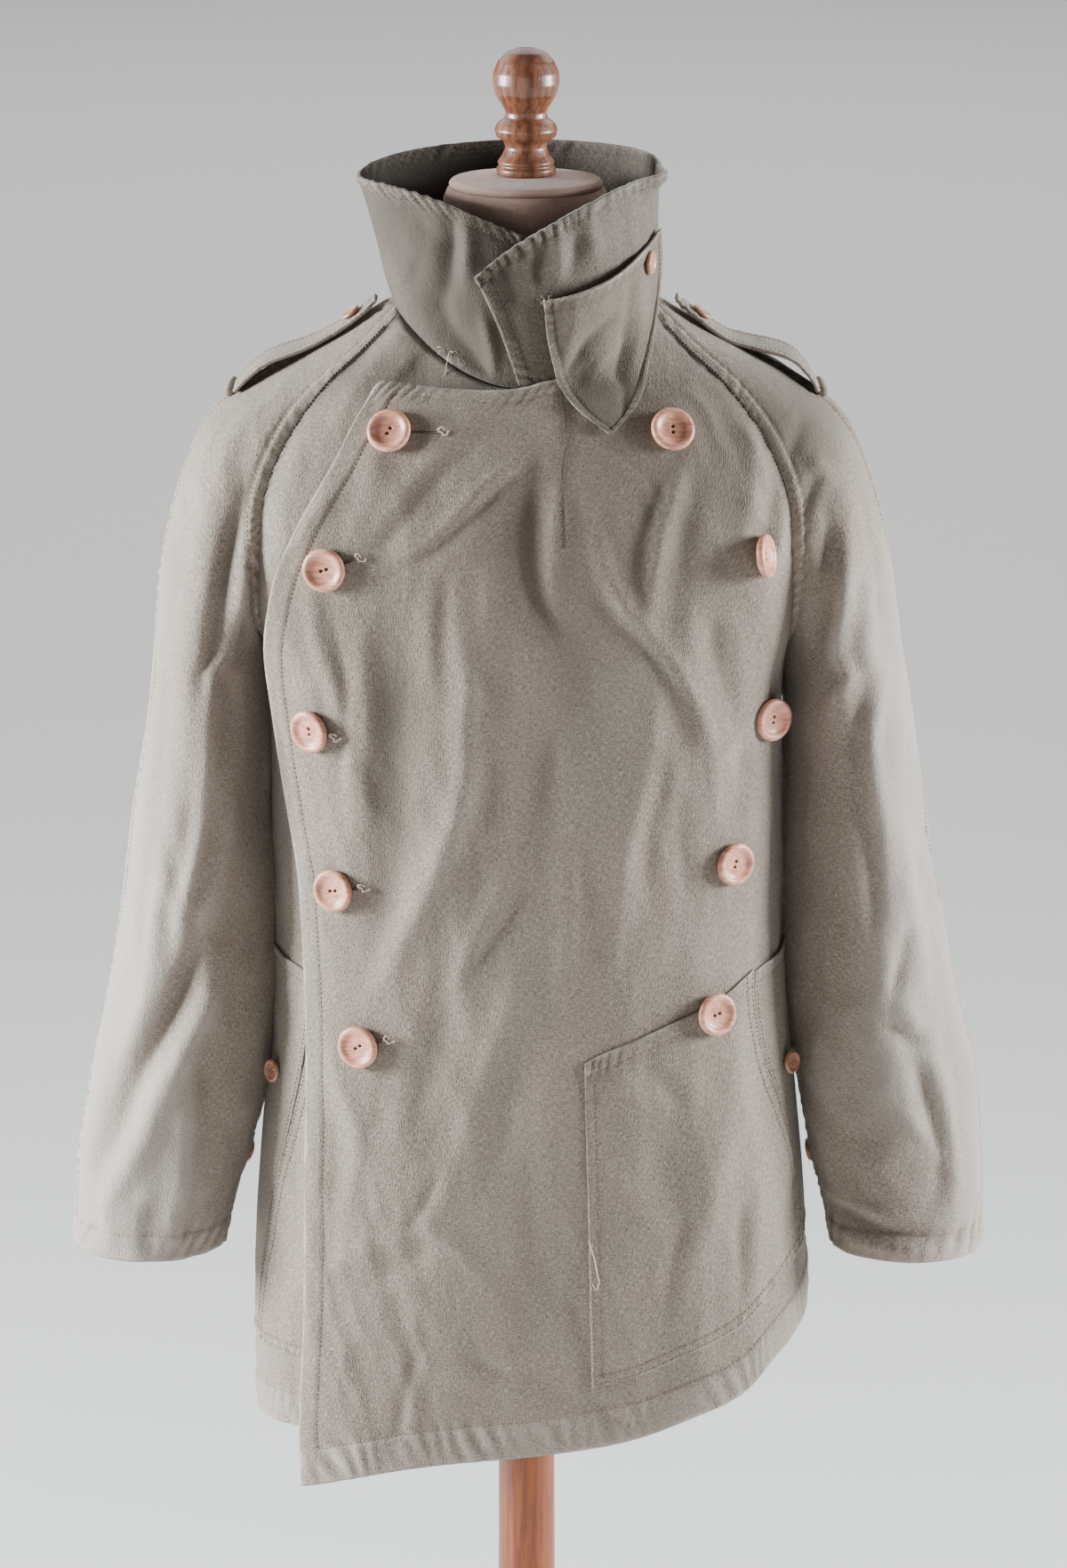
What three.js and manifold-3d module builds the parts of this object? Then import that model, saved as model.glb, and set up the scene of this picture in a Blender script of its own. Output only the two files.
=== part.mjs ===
// A double-breasted canvas motorcyclist's jacket, buttoned up with its collar standing, on a limbless
// dress form. Millimetres, +Z up, the floor at z = 0 under the pole, the jacket's front towards -Y,
// the wearer's left at +X. Every cloth piece is a thin wall laid on one shared form: a body tube that
// runs up into the neck between the raglan seams, and two sleeves that run from the neck over the
// shoulder to the cuff.
import * as THREE from "three";
import { mergeVertices } from "three/addons/utils/BufferGeometryUtils.js";
import Module from "manifold-3d";

const wasm = await Module();
wasm.setup();
const { clamp, degToRad, lerp, smoothstep } = THREE.MathUtils;
const vec = (x, y, z) => new THREE.Vector3(x, y, z);

/* ---- Driving dimensions ---- */
const CLOTH = 1.2; // one panel of canvas with its turned edges
const COLLAR_CLOTH = 2.4; // two canvases and the interlining
const SEAM = 0.3; // gap between pieces that are sewn edge to edge
const LIE = 0.9; // gap under a piece that lies on a panel
const LAP = 5; // how far the buttoned-over left front lies outside the right one
const ARMPIT_Z = 1224;
const CUFF_Z = 797;
const SKIRT_LEAN = 6; // the skirt hangs this far towards the wearer's left at z = HEM_Z
const HEM_Z = 660;
const NECK_RISE = 1.7; // the collar's lower edge stands this far over the neck seam

/* ---- Section tables, in millimetres unless a column says otherwise ---- */
// Horizontal sections of the body below the armpits. square is the power of the section's curve: 2 is
// an ellipse.
const BODY = [
  { z: 630, halfWidth: 193, front: 127, back: 128, square: 3.2 },
  { z: 690, halfWidth: 197, front: 129, back: 128, square: 3.1 },
  { z: 760, halfWidth: 194, front: 131, back: 127, square: 3.0 },
  { z: 860, halfWidth: 187, front: 133, back: 124, square: 2.8 },
  { z: 950, halfWidth: 180, front: 132, back: 120, square: 2.6 },
  { z: 1045, halfWidth: 177, front: 130, back: 117, square: 2.5 },
  { z: 1140, halfWidth: 176, front: 129, back: 117, square: 2.6 },
  { z: ARMPIT_Z, halfWidth: 176, front: 126, back: 118, square: 2.9 },
];

// Sections from the armpits (share 0) to the neck (share 1): the raglan seams in front and behind, the
// ridge of the shoulder between them, the half angle in degrees that the sleeve's arc spans, the
// middle of front and back, and the two powers of the curve across a panel, square at its ends and
// round in its middle.
const SHOULDER = [
  { share: 0.0, frontSeam: [176, 0, 1224], backSeam: [176, 0, 1224], ridge: [255, 0, 1224], spread: 180,
    chest: [-126, 1224], nape: [118, 1224], square: 2.9, round: 2.9 },
  { share: 0.07, frontSeam: [180, -34, 1234], backSeam: [179, 33, 1234], ridge: [255, 0, 1240], spread: 156.4,
    chest: [-127, 1237], nape: [119, 1241], square: 2.8, round: 2.1 },
  { share: 0.2, frontSeam: [180, -64, 1262], backSeam: [178, 66, 1265], ridge: [251, 0, 1272], spread: 130,
    chest: [-128, 1262], nape: [121, 1271], square: 2.5, round: 1.6 },
  { share: 0.4, frontSeam: [179, -78, 1305], backSeam: [174, 82, 1312], ridge: [243, 1, 1314], spread: 110,
    chest: [-128, 1300], nape: [122, 1318], square: 2.3, round: 1.4 },
  { share: 0.55, frontSeam: [176, -80, 1340], backSeam: [168, 88, 1348], ridge: [231, 2, 1352], spread: 101,
    chest: [-125, 1329], nape: [119, 1354], square: 2.2, round: 1.3 },
  { share: 0.68, frontSeam: [165, -76, 1370], backSeam: [156, 87, 1380], ridge: [213, 3, 1386], spread: 93,
    chest: [-120, 1354], nape: [113, 1384], square: 2.1, round: 1.3 },
  { share: 0.8, frontSeam: [148, -67, 1397], backSeam: [140, 80, 1408], ridge: [178, 4, 1412], spread: 86,
    chest: [-112, 1377], nape: [104, 1413], square: 2.1, round: 1.3 },
  { share: 0.88, frontSeam: [130, -58, 1417], backSeam: [122, 68, 1427], ridge: [148, 5, 1428], spread: 78,
    chest: [-104, 1392], nape: [95, 1432], square: 2, round: 1.3 },
  { share: 0.94, frontSeam: [109, -40, 1433], backSeam: [104, 48, 1442], ridge: [118, 5, 1443], spread: 70,
    chest: [-96, 1404], nape: [86, 1446], square: 2, round: 1.3 },
  { share: 1.0, frontSeam: [85, -15, 1455], backSeam: [85, 22, 1459], ridge: [87, 5, 1463], spread: 62,
    chest: [-86, 1415], nape: [76, 1460], square: 2, round: 1.3 },
];

// Level rings of the sleeve below the armpit.
const SLEEVE = [
  { z: CUFF_Z, leftX: 269, rightX: 267, centreY: -35, halfWidth: 52, halfDepth: 49 },
  { z: 862, leftX: 262, rightX: 257, centreY: -28, halfWidth: 57, halfDepth: 53 },
  { z: 919, leftX: 256, rightX: 245, centreY: -21, halfWidth: 59, halfDepth: 58 },
  { z: 981, leftX: 245, rightX: 236, centreY: -14, halfWidth: 55, halfDepth: 64 },
  { z: 1045, leftX: 237, rightX: 231, centreY: -9, halfWidth: 50, halfDepth: 70 },
  { z: 1108, leftX: 231, rightX: 227, centreY: -5, halfWidth: 45.5, halfDepth: 76 },
  { z: 1172, leftX: 225, rightX: 220, centreY: -2, halfWidth: 41, halfDepth: 82 },
  { z: ARMPIT_Z, leftX: 215.5, rightX: 215.5, centreY: 0, halfWidth: 39.5, halfDepth: 85 },
];

// Heights of the hem round each panel. side runs from -1 at the wearer's right side seam to 1 at the
// left one.
const LEFT_HEM = [
  { side: -0.62, z: 638 },
  { side: -0.28, z: 662 },
  { side: 0.04, z: 674 },
  { side: 0.21, z: 683 },
  { side: 0.37, z: 698 },
  { side: 0.52, z: 712 },
  { side: 0.62, z: 729 },
  { side: 0.74, z: 742 },
  { side: 0.91, z: 753 },
  { side: 1, z: 766 },
];
const RIGHT_HEM = [
  { side: -1, z: 668 },
  { side: -0.8, z: 677 },
  { side: 0, z: 692 },
  { side: 0.5, z: 718 },
];
const BACK_HEM = [
  { side: -1, z: 668 },
  { side: 0, z: 695 },
  { side: 1, z: 766 },
];

// The free edge of the left front. level runs from 0 at the hem through 1 at the armpits to 2 at the
// neck, side is where the edge lies, and lift is how far it stands off the panel beneath.
const LAPEL_EDGE = [
  { level: 0, side: -0.615, lift: 2 },
  { level: 0.2, side: -0.595, lift: 1 },
  { level: 0.41, side: -0.612, lift: 1 },
  { level: 0.74, side: -0.651, lift: 2 },
  { level: 0.84, side: -0.698, lift: 4 },
  { level: 0.95, side: -0.73, lift: 9 },
  { level: 1.07, side: -0.732, lift: 13 },
  { level: 1.25, side: -0.723, lift: 11 },
  { level: 1.41, side: -0.7, lift: 6 },
  { level: 1.53, side: -0.643, lift: 4 },
  { level: 1.65, side: -0.591, lift: 3 },
  { level: 1.79, side: -0.558, lift: 2 },
  { level: 2, side: -0.574, lift: 1 },
];
// The top edge falls by this share of the shoulder between the collar's end and its corner.
const LAPEL_DROP = 0.095;

// The collar round the neck. turn is the angle from the middle of the back, positive to the wearer's
// left, in degrees, top is the height of its upper edge, and out is how far the upper edge stands off
// the plain ring.
const COLLAR = [
  { turn: -200, top: 1503, out: -3 },
  { turn: -180, top: 1516, out: -2 },
  { turn: -150, top: 1533, out: 0 },
  { turn: -125, top: 1543, out: 2 },
  { turn: -90, top: 1546, out: 4 },
  { turn: -45, top: 1553, out: 2 },
  { turn: 0, top: 1557, out: 0 },
  { turn: 45, top: 1557, out: 2 },
  { turn: 90, top: 1555, out: 0 },
  { turn: 125, top: 1551, out: 3 },
  { turn: 150, top: 1542, out: 5 },
  { turn: 180, top: 1520, out: 7 },
  { turn: 200, top: 1491, out: 10 },
];
const COLLAR_TOP = { centreX: -10, centreY: 4, halfWidth: 98, front: 86, back: 88 };

/* ---- Shared curves and surfaces ---- */
// A smooth curve through one column of a table: cubic pieces whose slopes are those of the
// neighbouring rows' chord.
function track(table, along, pick) {
  const t = table.map((row) => row[along]);
  const y = table.map(pick);
  const last = t.length - 1;
  const slope = (i) => {
    const before = Math.max(i - 1, 0);
    const after = Math.min(i + 1, last);
    return (y[after] - y[before]) / (t[after] - t[before]);
  };
  return (at) => {
    const x = clamp(at, t[0], t[last]);
    let i = 0;
    while (i < last - 1 && x > t[i + 1]) i += 1;
    const width = t[i + 1] - t[i];
    const k = (x - t[i]) / width;
    const held = (1 + 2 * k) * (1 - k) ** 2 * y[i] + k * k * (3 - 2 * k) * y[i + 1];
    return held + width * (k * (1 - k) ** 2 * slope(i) - k * k * (1 - k) * slope(i + 1));
  };
}
const trackPoint = (table, along, column) => {
  const axes = [0, 1, 2].map((axis) => track(table, along, (row) => row[column][axis]));
  return (at) => vec(...axes.map((curve) => curve(at)));
};

const bodyWidth = track(BODY, "z", (row) => row.halfWidth);
const bodyFront = track(BODY, "z", (row) => row.front);
const bodyBack = track(BODY, "z", (row) => row.back);
const frontSeam = trackPoint(SHOULDER, "share", "frontSeam");
const backSeam = trackPoint(SHOULDER, "share", "backSeam");
const ridge = trackPoint(SHOULDER, "share", "ridge");
const spread = track(SHOULDER, "share", (row) => row.spread);
const chestY = track(SHOULDER, "share", (row) => row.chest[0]);
const chestZ = track(SHOULDER, "share", (row) => row.chest[1]);
const napeY = track(SHOULDER, "share", (row) => row.nape[0]);
const napeZ = track(SHOULDER, "share", (row) => row.nape[1]);
const shoulderSquare = track(SHOULDER, "share", (row) => row.square);
const shoulderRound = track(SHOULDER, "share", (row) => row.round);
const bodySquare = track(BODY, "z", (row) => row.square);
const leftHem = track(LEFT_HEM, "side", (row) => row.z);
const rightHem = track(RIGHT_HEM, "side", (row) => row.z);
const backHem = track(BACK_HEM, "side", (row) => row.z);
const lapelSide = track(LAPEL_EDGE, "level", (row) => row.side);
const lapelLift = track(LAPEL_EDGE, "level", (row) => row.lift);

// One row across a panel: an arch from the seam at one side over the middle (0, midY, midZ) to the
// other seam.
function archAcross(side, midY, midZ, seam, square, round) {
  const x = Math.sin((side * Math.PI) / 2);
  const reach = Math.min(Math.abs(x), 1) ** square;
  const depth = (1 - reach) ** (1 / round);
  return vec(seam.x * x, lerp(seam.y, midY, depth), lerp(midZ, seam.z, reach));
}

// A point of the body's front or back. level is 0 at the hem, 1 at the armpits and 2 at the neck.
function bodyPoint(side, level, hem, isBack) {
  if (level <= 1) {
    const z = lerp(hem(side), ARMPIT_Z, level);
    const midY = isBack ? bodyBack(z) : -bodyFront(z);
    const square = bodySquare(z);
    const point = archAcross(side, midY, z, vec(bodyWidth(z), 0, z), square, square);
    point.x += (SKIRT_LEAN * (ARMPIT_Z - z)) / (ARMPIT_Z - HEM_Z);
    return point;
  }
  const share = level - 1;
  const [seam, midY, midZ] = isBack
    ? [backSeam(share), napeY(share), napeZ(share)]
    : [frontSeam(share), chestY(share), chestZ(share)];
  return archAcross(side, midY, midZ, seam, shoulderSquare(share), shoulderRound(share));
}

// The direction out of a surface, from two short steps along it. turned is -1 where the steps run the
// other way.
function outward(surface, a, b, turned = 1) {
  const step = 1e-3;
  const across = surface(a + step, b).sub(surface(a - step, b));
  const up = surface(a, b + step).sub(surface(a, b - step));
  return across.cross(up).normalize().multiplyScalar(turned);
}

const rightFrontPoint = (side, level) => bodyPoint(side, level, rightHem, false);
const backPoint = (side, level) => bodyPoint(side, level, backHem, true);

// The left front lies LAP outside the right one, and comes in to the shared seams at the wearer's left.
function leftFrontPoint(side, level) {
  const plain = (s, l) => bodyPoint(clamp(s, -1, 1), clamp(l, 0, 2), leftHem, false);
  const inner = Math.min(side, 0.999);
  const off = LAP * (1 - smoothstep(side, 0.45, 0.97));
  const fromEdge = side - lapelSide(level);
  const lift = lapelLift(level) * (1 - smoothstep(fromEdge, 0, 0.5)) ** 2;
  return plain(side, level).addScaledVector(outward(plain, inner, clamp(level, 0.002, 1.998)), off + lift);
}

const sleeveX = {
  left: track(SLEEVE, "z", (row) => row.leftX),
  right: track(SLEEVE, "z", (row) => row.rightX),
};
const sleeveY = track(SLEEVE, "z", (row) => row.centreY);
const sleeveWidth = track(SLEEVE, "z", (row) => row.halfWidth);
const sleeveDepth = track(SLEEVE, "z", (row) => row.halfDepth);

// A point of a sleeve, drawn on the wearer's left. turn runs from -1 at the seam in front, through 0
// at the ridge, to 1 at the seam behind, and level from 0 at the neck through 1 at the armpit to 2 at
// the cuff.
function sleevePoint(turn, level, hand = "left") {
  if (level > 1) {
    const z = lerp(ARMPIT_Z, CUFF_Z, level - 1);
    const angle = turn * Math.PI;
    const x = sleeveX[hand](z) + sleeveWidth(z) * Math.cos(angle);
    return vec(x, sleeveY(z) + sleeveDepth(z) * Math.sin(angle), z);
  }
  const share = 1 - level;
  const top = ridge(share);
  const half = degToRad(spread(share));
  const middle = frontSeam(share).add(backSeam(share)).multiplyScalar(0.5);
  const up = top.clone().sub(middle);
  const across = backSeam(share).sub(frontSeam(share));
  const height = up.length() / (1 - Math.cos(half));
  const depth = share > 0.002 ? across.length() / 2 / Math.sin(half) : sleeveDepth(ARMPIT_Z);
  if (share <= 0.002) across.set(0, 1, 0);
  return top
    .addScaledVector(up.normalize(), height * (Math.cos(turn * half) - 1))
    .addScaledVector(across.normalize(), depth * Math.sin(turn * half));
}

/* ---- Cloth walls ---- */
const evenly = (from, to, count) => Array.from({ length: count + 1 }, (_, i) => lerp(from, to, i / count));
const SHARES = SHOULDER.map((row) => row.share);

// A grid of points on the middle of a cloth wall, with the direction of its thickness at each.
class Cloth {
  constructor(surface, across, up) {
    this.points = up.map((v) => across.map((u) => surface(u, v)));
    const rows = up.length - 1;
    const columns = across.length - 1;
    const at = (j, i) => this.points[clamp(j, 0, rows)][clamp(i, 0, columns)];
    this.normals = this.points.map((row, j) =>
      row.map((_, i) => {
        const along = at(j, i + 1).clone().sub(at(j, i - 1));
        const rise = at(j + 1, i).clone().sub(at(j - 1, i));
        return along.cross(rise).normalize();
      }),
    );
  }

  // The points or directions of one side column, from row first to row last.
  column(kind, atEnd, first = 0, last = this.points.length - 1) {
    return this[kind].slice(first, last + 1).map((row) => row[atEnd ? row.length - 1 : 0]);
  }

  // Draws a side in by half a seam.
  trim(atEnd) {
    for (const row of this.points) {
      const [edge, next] = atEnd ? [row.at(-1), row.at(-2)] : [row[0], row[1]];
      edge.addScaledVector(next.clone().sub(edge).normalize(), SEAM / 2);
    }
    return this;
  }

  // A closed solid: the outer and inner grids, joined round the rim.
  solid(thickness) {
    const rows = this.points.length;
    const columns = this.points[0].length;
    const position = [];
    for (const half of [thickness / 2, -thickness / 2])
      this.points.forEach((row, j) =>
        row.forEach((point, i) => {
          const moved = point.clone().addScaledVector(this.normals[j][i], half);
          position.push(...moved);
        }),
      );
    const layer = rows * columns;
    const index = [];
    const quad = (a, b, c, d) => index.push(a, b, c, a, c, d);
    for (let j = 0; j + 1 < rows; j += 1)
      for (let i = 0; i + 1 < columns; i += 1) {
        const a = j * columns + i;
        const corners = [a, a + 1, a + 1 + columns, a + columns];
        const pointOf = (corner) => this.points[Math.floor(corner / columns)][corner % columns];
        const [p, q, r, t] = corners.map(pointOf);
        if (p.distanceTo(r) > q.distanceTo(t)) corners.push(corners.shift());
        quad(...corners);
        quad(...[0, 3, 2, 1].map((k) => layer + corners[k]));
      }
    for (let i = 0; i + 1 < columns; i += 1) {
      const top = (rows - 1) * columns + i;
      quad(i + 1, i, layer + i, layer + i + 1);
      quad(top, top + 1, layer + top + 1, layer + top);
    }
    for (let j = 0; j + 1 < rows; j += 1) {
      const left = j * columns;
      const right = left + columns - 1;
      quad(left, left + columns, layer + left + columns, layer + left);
      quad(right + columns, right, layer + right, layer + right + columns);
    }
    const geometry = new THREE.BufferGeometry();
    geometry.setAttribute("position", new THREE.Float32BufferAttribute(position, 3));
    geometry.setIndex(index);
    geometry.computeVertexNormals();
    return geometry;
  }
}

// Gives two edges that are sewn together one shared direction of thickness, so that they meet like a
// mitre.
function mitre(edge, other) {
  edge.forEach((normal, k) => {
    const shared = normal.clone().add(other[k]).normalize();
    normal.copy(shared);
    other[k].copy(shared);
  });
}

// The mirror image of a piece, with its faces turned back to point outwards.
function mirrored(geometry) {
  const copy = geometry.index ? geometry.clone() : mergeVertices(geometry);
  copy.scale(-1, 1, 1);
  const index = copy.index.array;
  for (let i = 0; i < index.length; i += 3) [index[i + 1], index[i + 2]] = [index[i + 2], index[i + 1]];
  copy.computeVertexNormals();
  return copy;
}

/* ---- Materials ---- */
const surfaceMaterial = (name, color, roughness) =>
  new THREE.MeshStandardMaterial({ name, color, roughness, metalness: 0 });
const canvas = surfaceMaterial("canvas", 0x8b8068, 0.95);
const buttonWood = surfaceMaterial("button_wood", 0xd19b7c, 0.5);
const linen = surfaceMaterial("linen", 0x9a7868, 0.95);
const turnedWood = surfaceMaterial("turned_wood", 0x935a35, 0.4);

const jacket = new THREE.Group();
const form = new THREE.Group();
function add(group, name, geometry, material) {
  const mesh = new THREE.Mesh(geometry, material);
  mesh.name = name;
  group.add(mesh);
  return mesh;
}

/* ---- Fronts, back and sleeves ---- */
const LOWER_ROWS = 9;
const ARMPIT_ROW = LOWER_ROWS;
const bodyLevels = [...evenly(0, 1, LOWER_ROWS), ...SHARES.slice(1).map((share) => 1 + share)];
const sleeveLevels = [
  ...[...SHARES].reverse().map((share) => 1 - share),
  ...SLEEVE.slice(0, -1).reverse().map((row) => 1 + (ARMPIT_Z - row.z) / (ARMPIT_Z - CUFF_Z)),
];
const SLEEVE_ARMPIT_ROW = SHARES.length - 1;
const RIGHT_FRONT_INNER_SIDE = 0.46;

// The left front's rows: across runs from 0 at its free edge to 1 at the side and raglan seams.
function leftFrontAcross(across, level) {
  const side = lerp(lapelSide(level), 1, across);
  const drop = LAPEL_DROP * clamp((0.08 - side) / 0.65, 0, 1);
  const lowered = level > 1 ? 1 + (level - 1) * (1 - drop) : level;
  return leftFrontPoint(side, lowered);
}

const leftFront = new Cloth(leftFrontAcross, evenly(0, 1, 16), bodyLevels).trim(true);
const rightFrontSides = evenly(-1, RIGHT_FRONT_INNER_SIDE, 9);
const rightFront = new Cloth(rightFrontPoint, rightFrontSides, bodyLevels).trim(false);
const back = new Cloth((across, level) => backPoint(-across, level), evenly(-1, 1, 14), bodyLevels)
  .trim(false)
  .trim(true);

// The sleeve's edges stand clear of the panels by a seam, towards the ridge.
function sleeveClear(turn, level, hand) {
  const point = sleevePoint(turn, level, hand);
  if (level > 1 || Math.abs(turn) < 1) return point;
  const towards = ridge(1 - level).sub(point).normalize();
  return point.addScaledVector(towards, 1.5 * SEAM);
}
const sleeveHalves = ["left", "right"].map((hand) => {
  const half = (from, to) =>
    new Cloth((turn, level) => sleeveClear(-turn, level, hand), evenly(from, to, 7), sleeveLevels)
      .trim(false)
      .trim(true);
  return { hand, front: half(0, 1), behind: half(-1, 0) };
});

// The panel directions of the wearer's right side, mirrored to the left so that both sides are joined
// alike.
const mirrorX = (normal) => normal.set(-normal.x, normal.y, normal.z);
function joinSide(frontPanel, frontAtEnd, backAtEnd, sleeve, isRight) {
  const bodyTop = bodyLevels.length - 1;
  const panels = [
    frontPanel.column("normals", frontAtEnd),
    back.column("normals", backAtEnd),
  ];
  if (isRight) panels.flat().forEach(mirrorX);
  const [frontEdge, backEdge] = panels;
  const sleeveFrontEdge = sleeve.front.column("normals", true, 0, SLEEVE_ARMPIT_ROW).reverse();
  const sleeveBackEdge = sleeve.behind.column("normals", false, 0, SLEEVE_ARMPIT_ROW).reverse();
  mitre(frontEdge.slice(0, ARMPIT_ROW), backEdge.slice(0, ARMPIT_ROW));
  mitre(frontEdge.slice(ARMPIT_ROW, bodyTop + 1), sleeveFrontEdge);
  mitre(backEdge.slice(ARMPIT_ROW, bodyTop + 1), sleeveBackEdge);
  mitre(sleeve.front.column("normals", false), sleeve.behind.column("normals", true));
  mitre(
    sleeve.front.column("normals", true, SLEEVE_ARMPIT_ROW + 1),
    sleeve.behind.column("normals", false, SLEEVE_ARMPIT_ROW + 1),
  );
  // Under the arm four pieces meet over the gap between body and sleeve, so their thickness runs
  // downwards.
  for (const corner of [frontEdge[ARMPIT_ROW], backEdge[ARMPIT_ROW], sleeveFrontEdge[0], sleeveBackEdge[0]])
    corner.set(0, 0, -1);
  if (isRight) panels.flat().forEach(mirrorX);
}
joinSide(leftFront, true, false, sleeveHalves[0], false);
joinSide(rightFront, false, true, sleeveHalves[1], true);

add(jacket, "left_front", leftFront.solid(CLOTH), canvas);
add(jacket, "right_front", rightFront.solid(CLOTH), canvas);
add(jacket, "back", back.solid(CLOTH), canvas);
const onHand = (geometry, hand) => (hand === "left" ? geometry : mirrored(geometry));
for (const { hand, front, behind } of sleeveHalves) {
  add(jacket, `${hand}_sleeve_front`, onHand(front.solid(CLOTH), hand), canvas);
  add(jacket, `${hand}_sleeve_back`, onHand(behind.solid(CLOTH), hand), canvas);
}

/* ---- Collar ---- */
const NECK_BACK = 75; // degrees of the neck ring over half the back, from its middle
const NECK_SLEEVE = 25; // and over the top of one sleeve
const COLLAR_END = { foot: 183, rim: 193 }; // the slanted end on the outside
const collarTop = track(COLLAR, "turn", (row) => row.top);
const collarOut = track(COLLAR, "turn", (row) => row.out);

// The neck seam, by the angle round it from the middle of the back, positive to the wearer's left.
function neckPoint(turn) {
  const angle = Math.abs(turn);
  const side = 1 - (angle - NECK_BACK - NECK_SLEEVE) / (180 - NECK_BACK - NECK_SLEEVE);
  let point;
  if (angle <= NECK_BACK) point = backPoint(angle / NECK_BACK, 2);
  else if (angle <= NECK_BACK + NECK_SLEEVE)
    point = sleevePoint(1 - (2 * (angle - NECK_BACK)) / NECK_SLEEVE, 0);
  else point = turn > 0 ? leftFrontPoint(side, 2) : rightFrontPoint(side, 2);
  if (turn < 0) point.x = -point.x;
  return point;
}

function collarPoint(turn, level) {
  const foot = neckPoint(turn);
  foot.z += NECK_RISE;
  const angle = degToRad(turn);
  const { centreX, centreY, halfWidth, front, back: behind } = COLLAR_TOP;
  const depth = Math.abs(turn) < 90 ? behind : front;
  const out = collarOut(turn);
  const rim = vec(
    centreX + (halfWidth + out) * Math.sin(angle),
    centreY + (depth + out) * Math.cos(angle),
    collarTop(turn),
  );
  return foot.lerp(rim, level);
}

// The columns of the collar, closer together over the tops of the sleeves, where the neck seam turns
// most.
const halfRing = [0, 15, 30, 45, 60, 75, 81, 87.5, 94, 100, 110, 122, 136, 150, 165, 180, 193];
const collarTurns = [...halfRing.slice(1).reverse(), ...halfRing.map((turn) => -turn)];
const collarSlant = (turn, level) =>
  turn - (COLLAR_END.rim - COLLAR_END.foot) * (1 - level) * smoothstep(turn, 150, COLLAR_END.rim);
const collarCut = (turn, level) => collarPoint(collarSlant(turn, level), level);
const collar = new Cloth(collarCut, collarTurns, evenly(0, 1, 4));
add(jacket, "collar", collar.solid(COLLAR_CLOTH), canvas);

/* ---- Pieces that lie on a panel ---- */
// A panel's surface moved out far enough for a second layer to lie on it.
const LYING = CLOTH + LIE;
const over = (surface, off, turned = 1) => (a, b) =>
  surface(a, b).addScaledVector(outward(surface, a, b, turned), off);
const mirrorSide = (surface) => (side, level) => mirrorX(surface(-side, level));
const pocketGround = { left: leftFrontPoint, right: mirrorSide(rightFrontPoint) };

// The pocket is drawn on the wearer's left front, as side and level on it, and mirrored on the right
// one, which hangs lower. Each pair gives the patch's or the side piece's inner and outer end.
const POCKET_INNER = 0.13;
const POCKET = {
  left: { foot: [0.083, 0.11], mouth: [0.517, 0.572], sideFoot: [0.11, 0.12], sideMouth: [0.567, 0.552] },
  right: { foot: [0.083, 0.1], mouth: [0.55, 0.61], sideFoot: [0.1, 0.11], sideMouth: [0.604, 0.625] },
};
const POCKET_EDGE = [
  { level: 0.08, side: 0.865 },
  { level: 0.14, side: 0.85 },
  { level: 0.22, side: 0.82 },
  { level: 0.33, side: 0.757 },
  { level: 0.43, side: 0.689 },
  { level: 0.5, side: 0.652 },
  { level: 0.58, side: 0.634 },
];
const pocketEdge = track(POCKET_EDGE, "level", (row) => row.side);
const pocketGap = 0.004; // between the patch and the side piece, as a share of side

function pocketSurface(hand, isPatch) {
  const ground = over(pocketGround[hand], LYING);
  const { foot, mouth, sideFoot, sideMouth } = POCKET[hand];
  return (u, v) => {
    const low = isPatch ? lerp(...foot, u) : lerp(...sideFoot, u);
    const high = isPatch ? lerp(...mouth, u ** 0.7) : lerp(...sideMouth, u);
    const level = lerp(low, high, v);
    const edge = pocketEdge(level);
    return ground(isPatch ? lerp(POCKET_INNER, edge, u) : lerp(edge + pocketGap, 0.98, u), level);
  };
}
for (const hand of ["left", "right"]) {
  const patch = new Cloth(pocketSurface(hand, true), evenly(0, 1, 10), evenly(0, 1, 7));
  const sidePiece = new Cloth(pocketSurface(hand, false), evenly(0, 1, 5), evenly(0, 1, 7));
  add(jacket, `${hand}_patch_pocket`, onHand(patch.solid(CLOTH), hand), canvas);
  add(jacket, `${hand}_pocket_side`, onHand(sidePiece.solid(CLOTH), hand), canvas);
}

// The throat tab hangs on the left end of the collar, its point over the left front. Each row gives
// the ends and the middle of a line across it.
const TAB = [
  { down: 0, left: [12, -90.5, 1477], middle: [56, -78, 1489], right: [90, -18, 1513] },
  { down: 0.3, left: [14, -91, 1452], middle: [58, -72, 1462], right: [91, -7, 1484] },
  { down: 0.5, left: [18, -92, 1434], middle: [56, -74, 1441], right: [88, -33, 1458] },
  { down: 0.7, left: [23, -94, 1418], middle: [52, -86, 1424], right: [82, -70, 1430] },
  { down: 0.87, left: [36, -104, 1404], middle: [54, -102, 1406], right: [75, -95, 1410] },
  { down: 1, left: [55, -111.5, 1391], middle: [56.5, -111.3, 1391], right: [58, -111, 1391] },
];
const tabColumns = ["left", "middle", "right"].map((column) => trackPoint(TAB, "down", column));
function tabPoint(across, down) {
  const [left, middle, right] = tabColumns.map((column) => column(down));
  return left
    .multiplyScalar((1 - 2 * across) * (1 - across))
    .addScaledVector(middle, 4 * across * (1 - across))
    .addScaledVector(right, across * (2 * across - 1));
}
const tab = new Cloth((u, v) => tabPoint(u, 1 - v), evenly(0, 1, 9), evenly(0, 1, 10));
add(jacket, "throat_tab", tab.solid(CLOTH), canvas);

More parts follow.
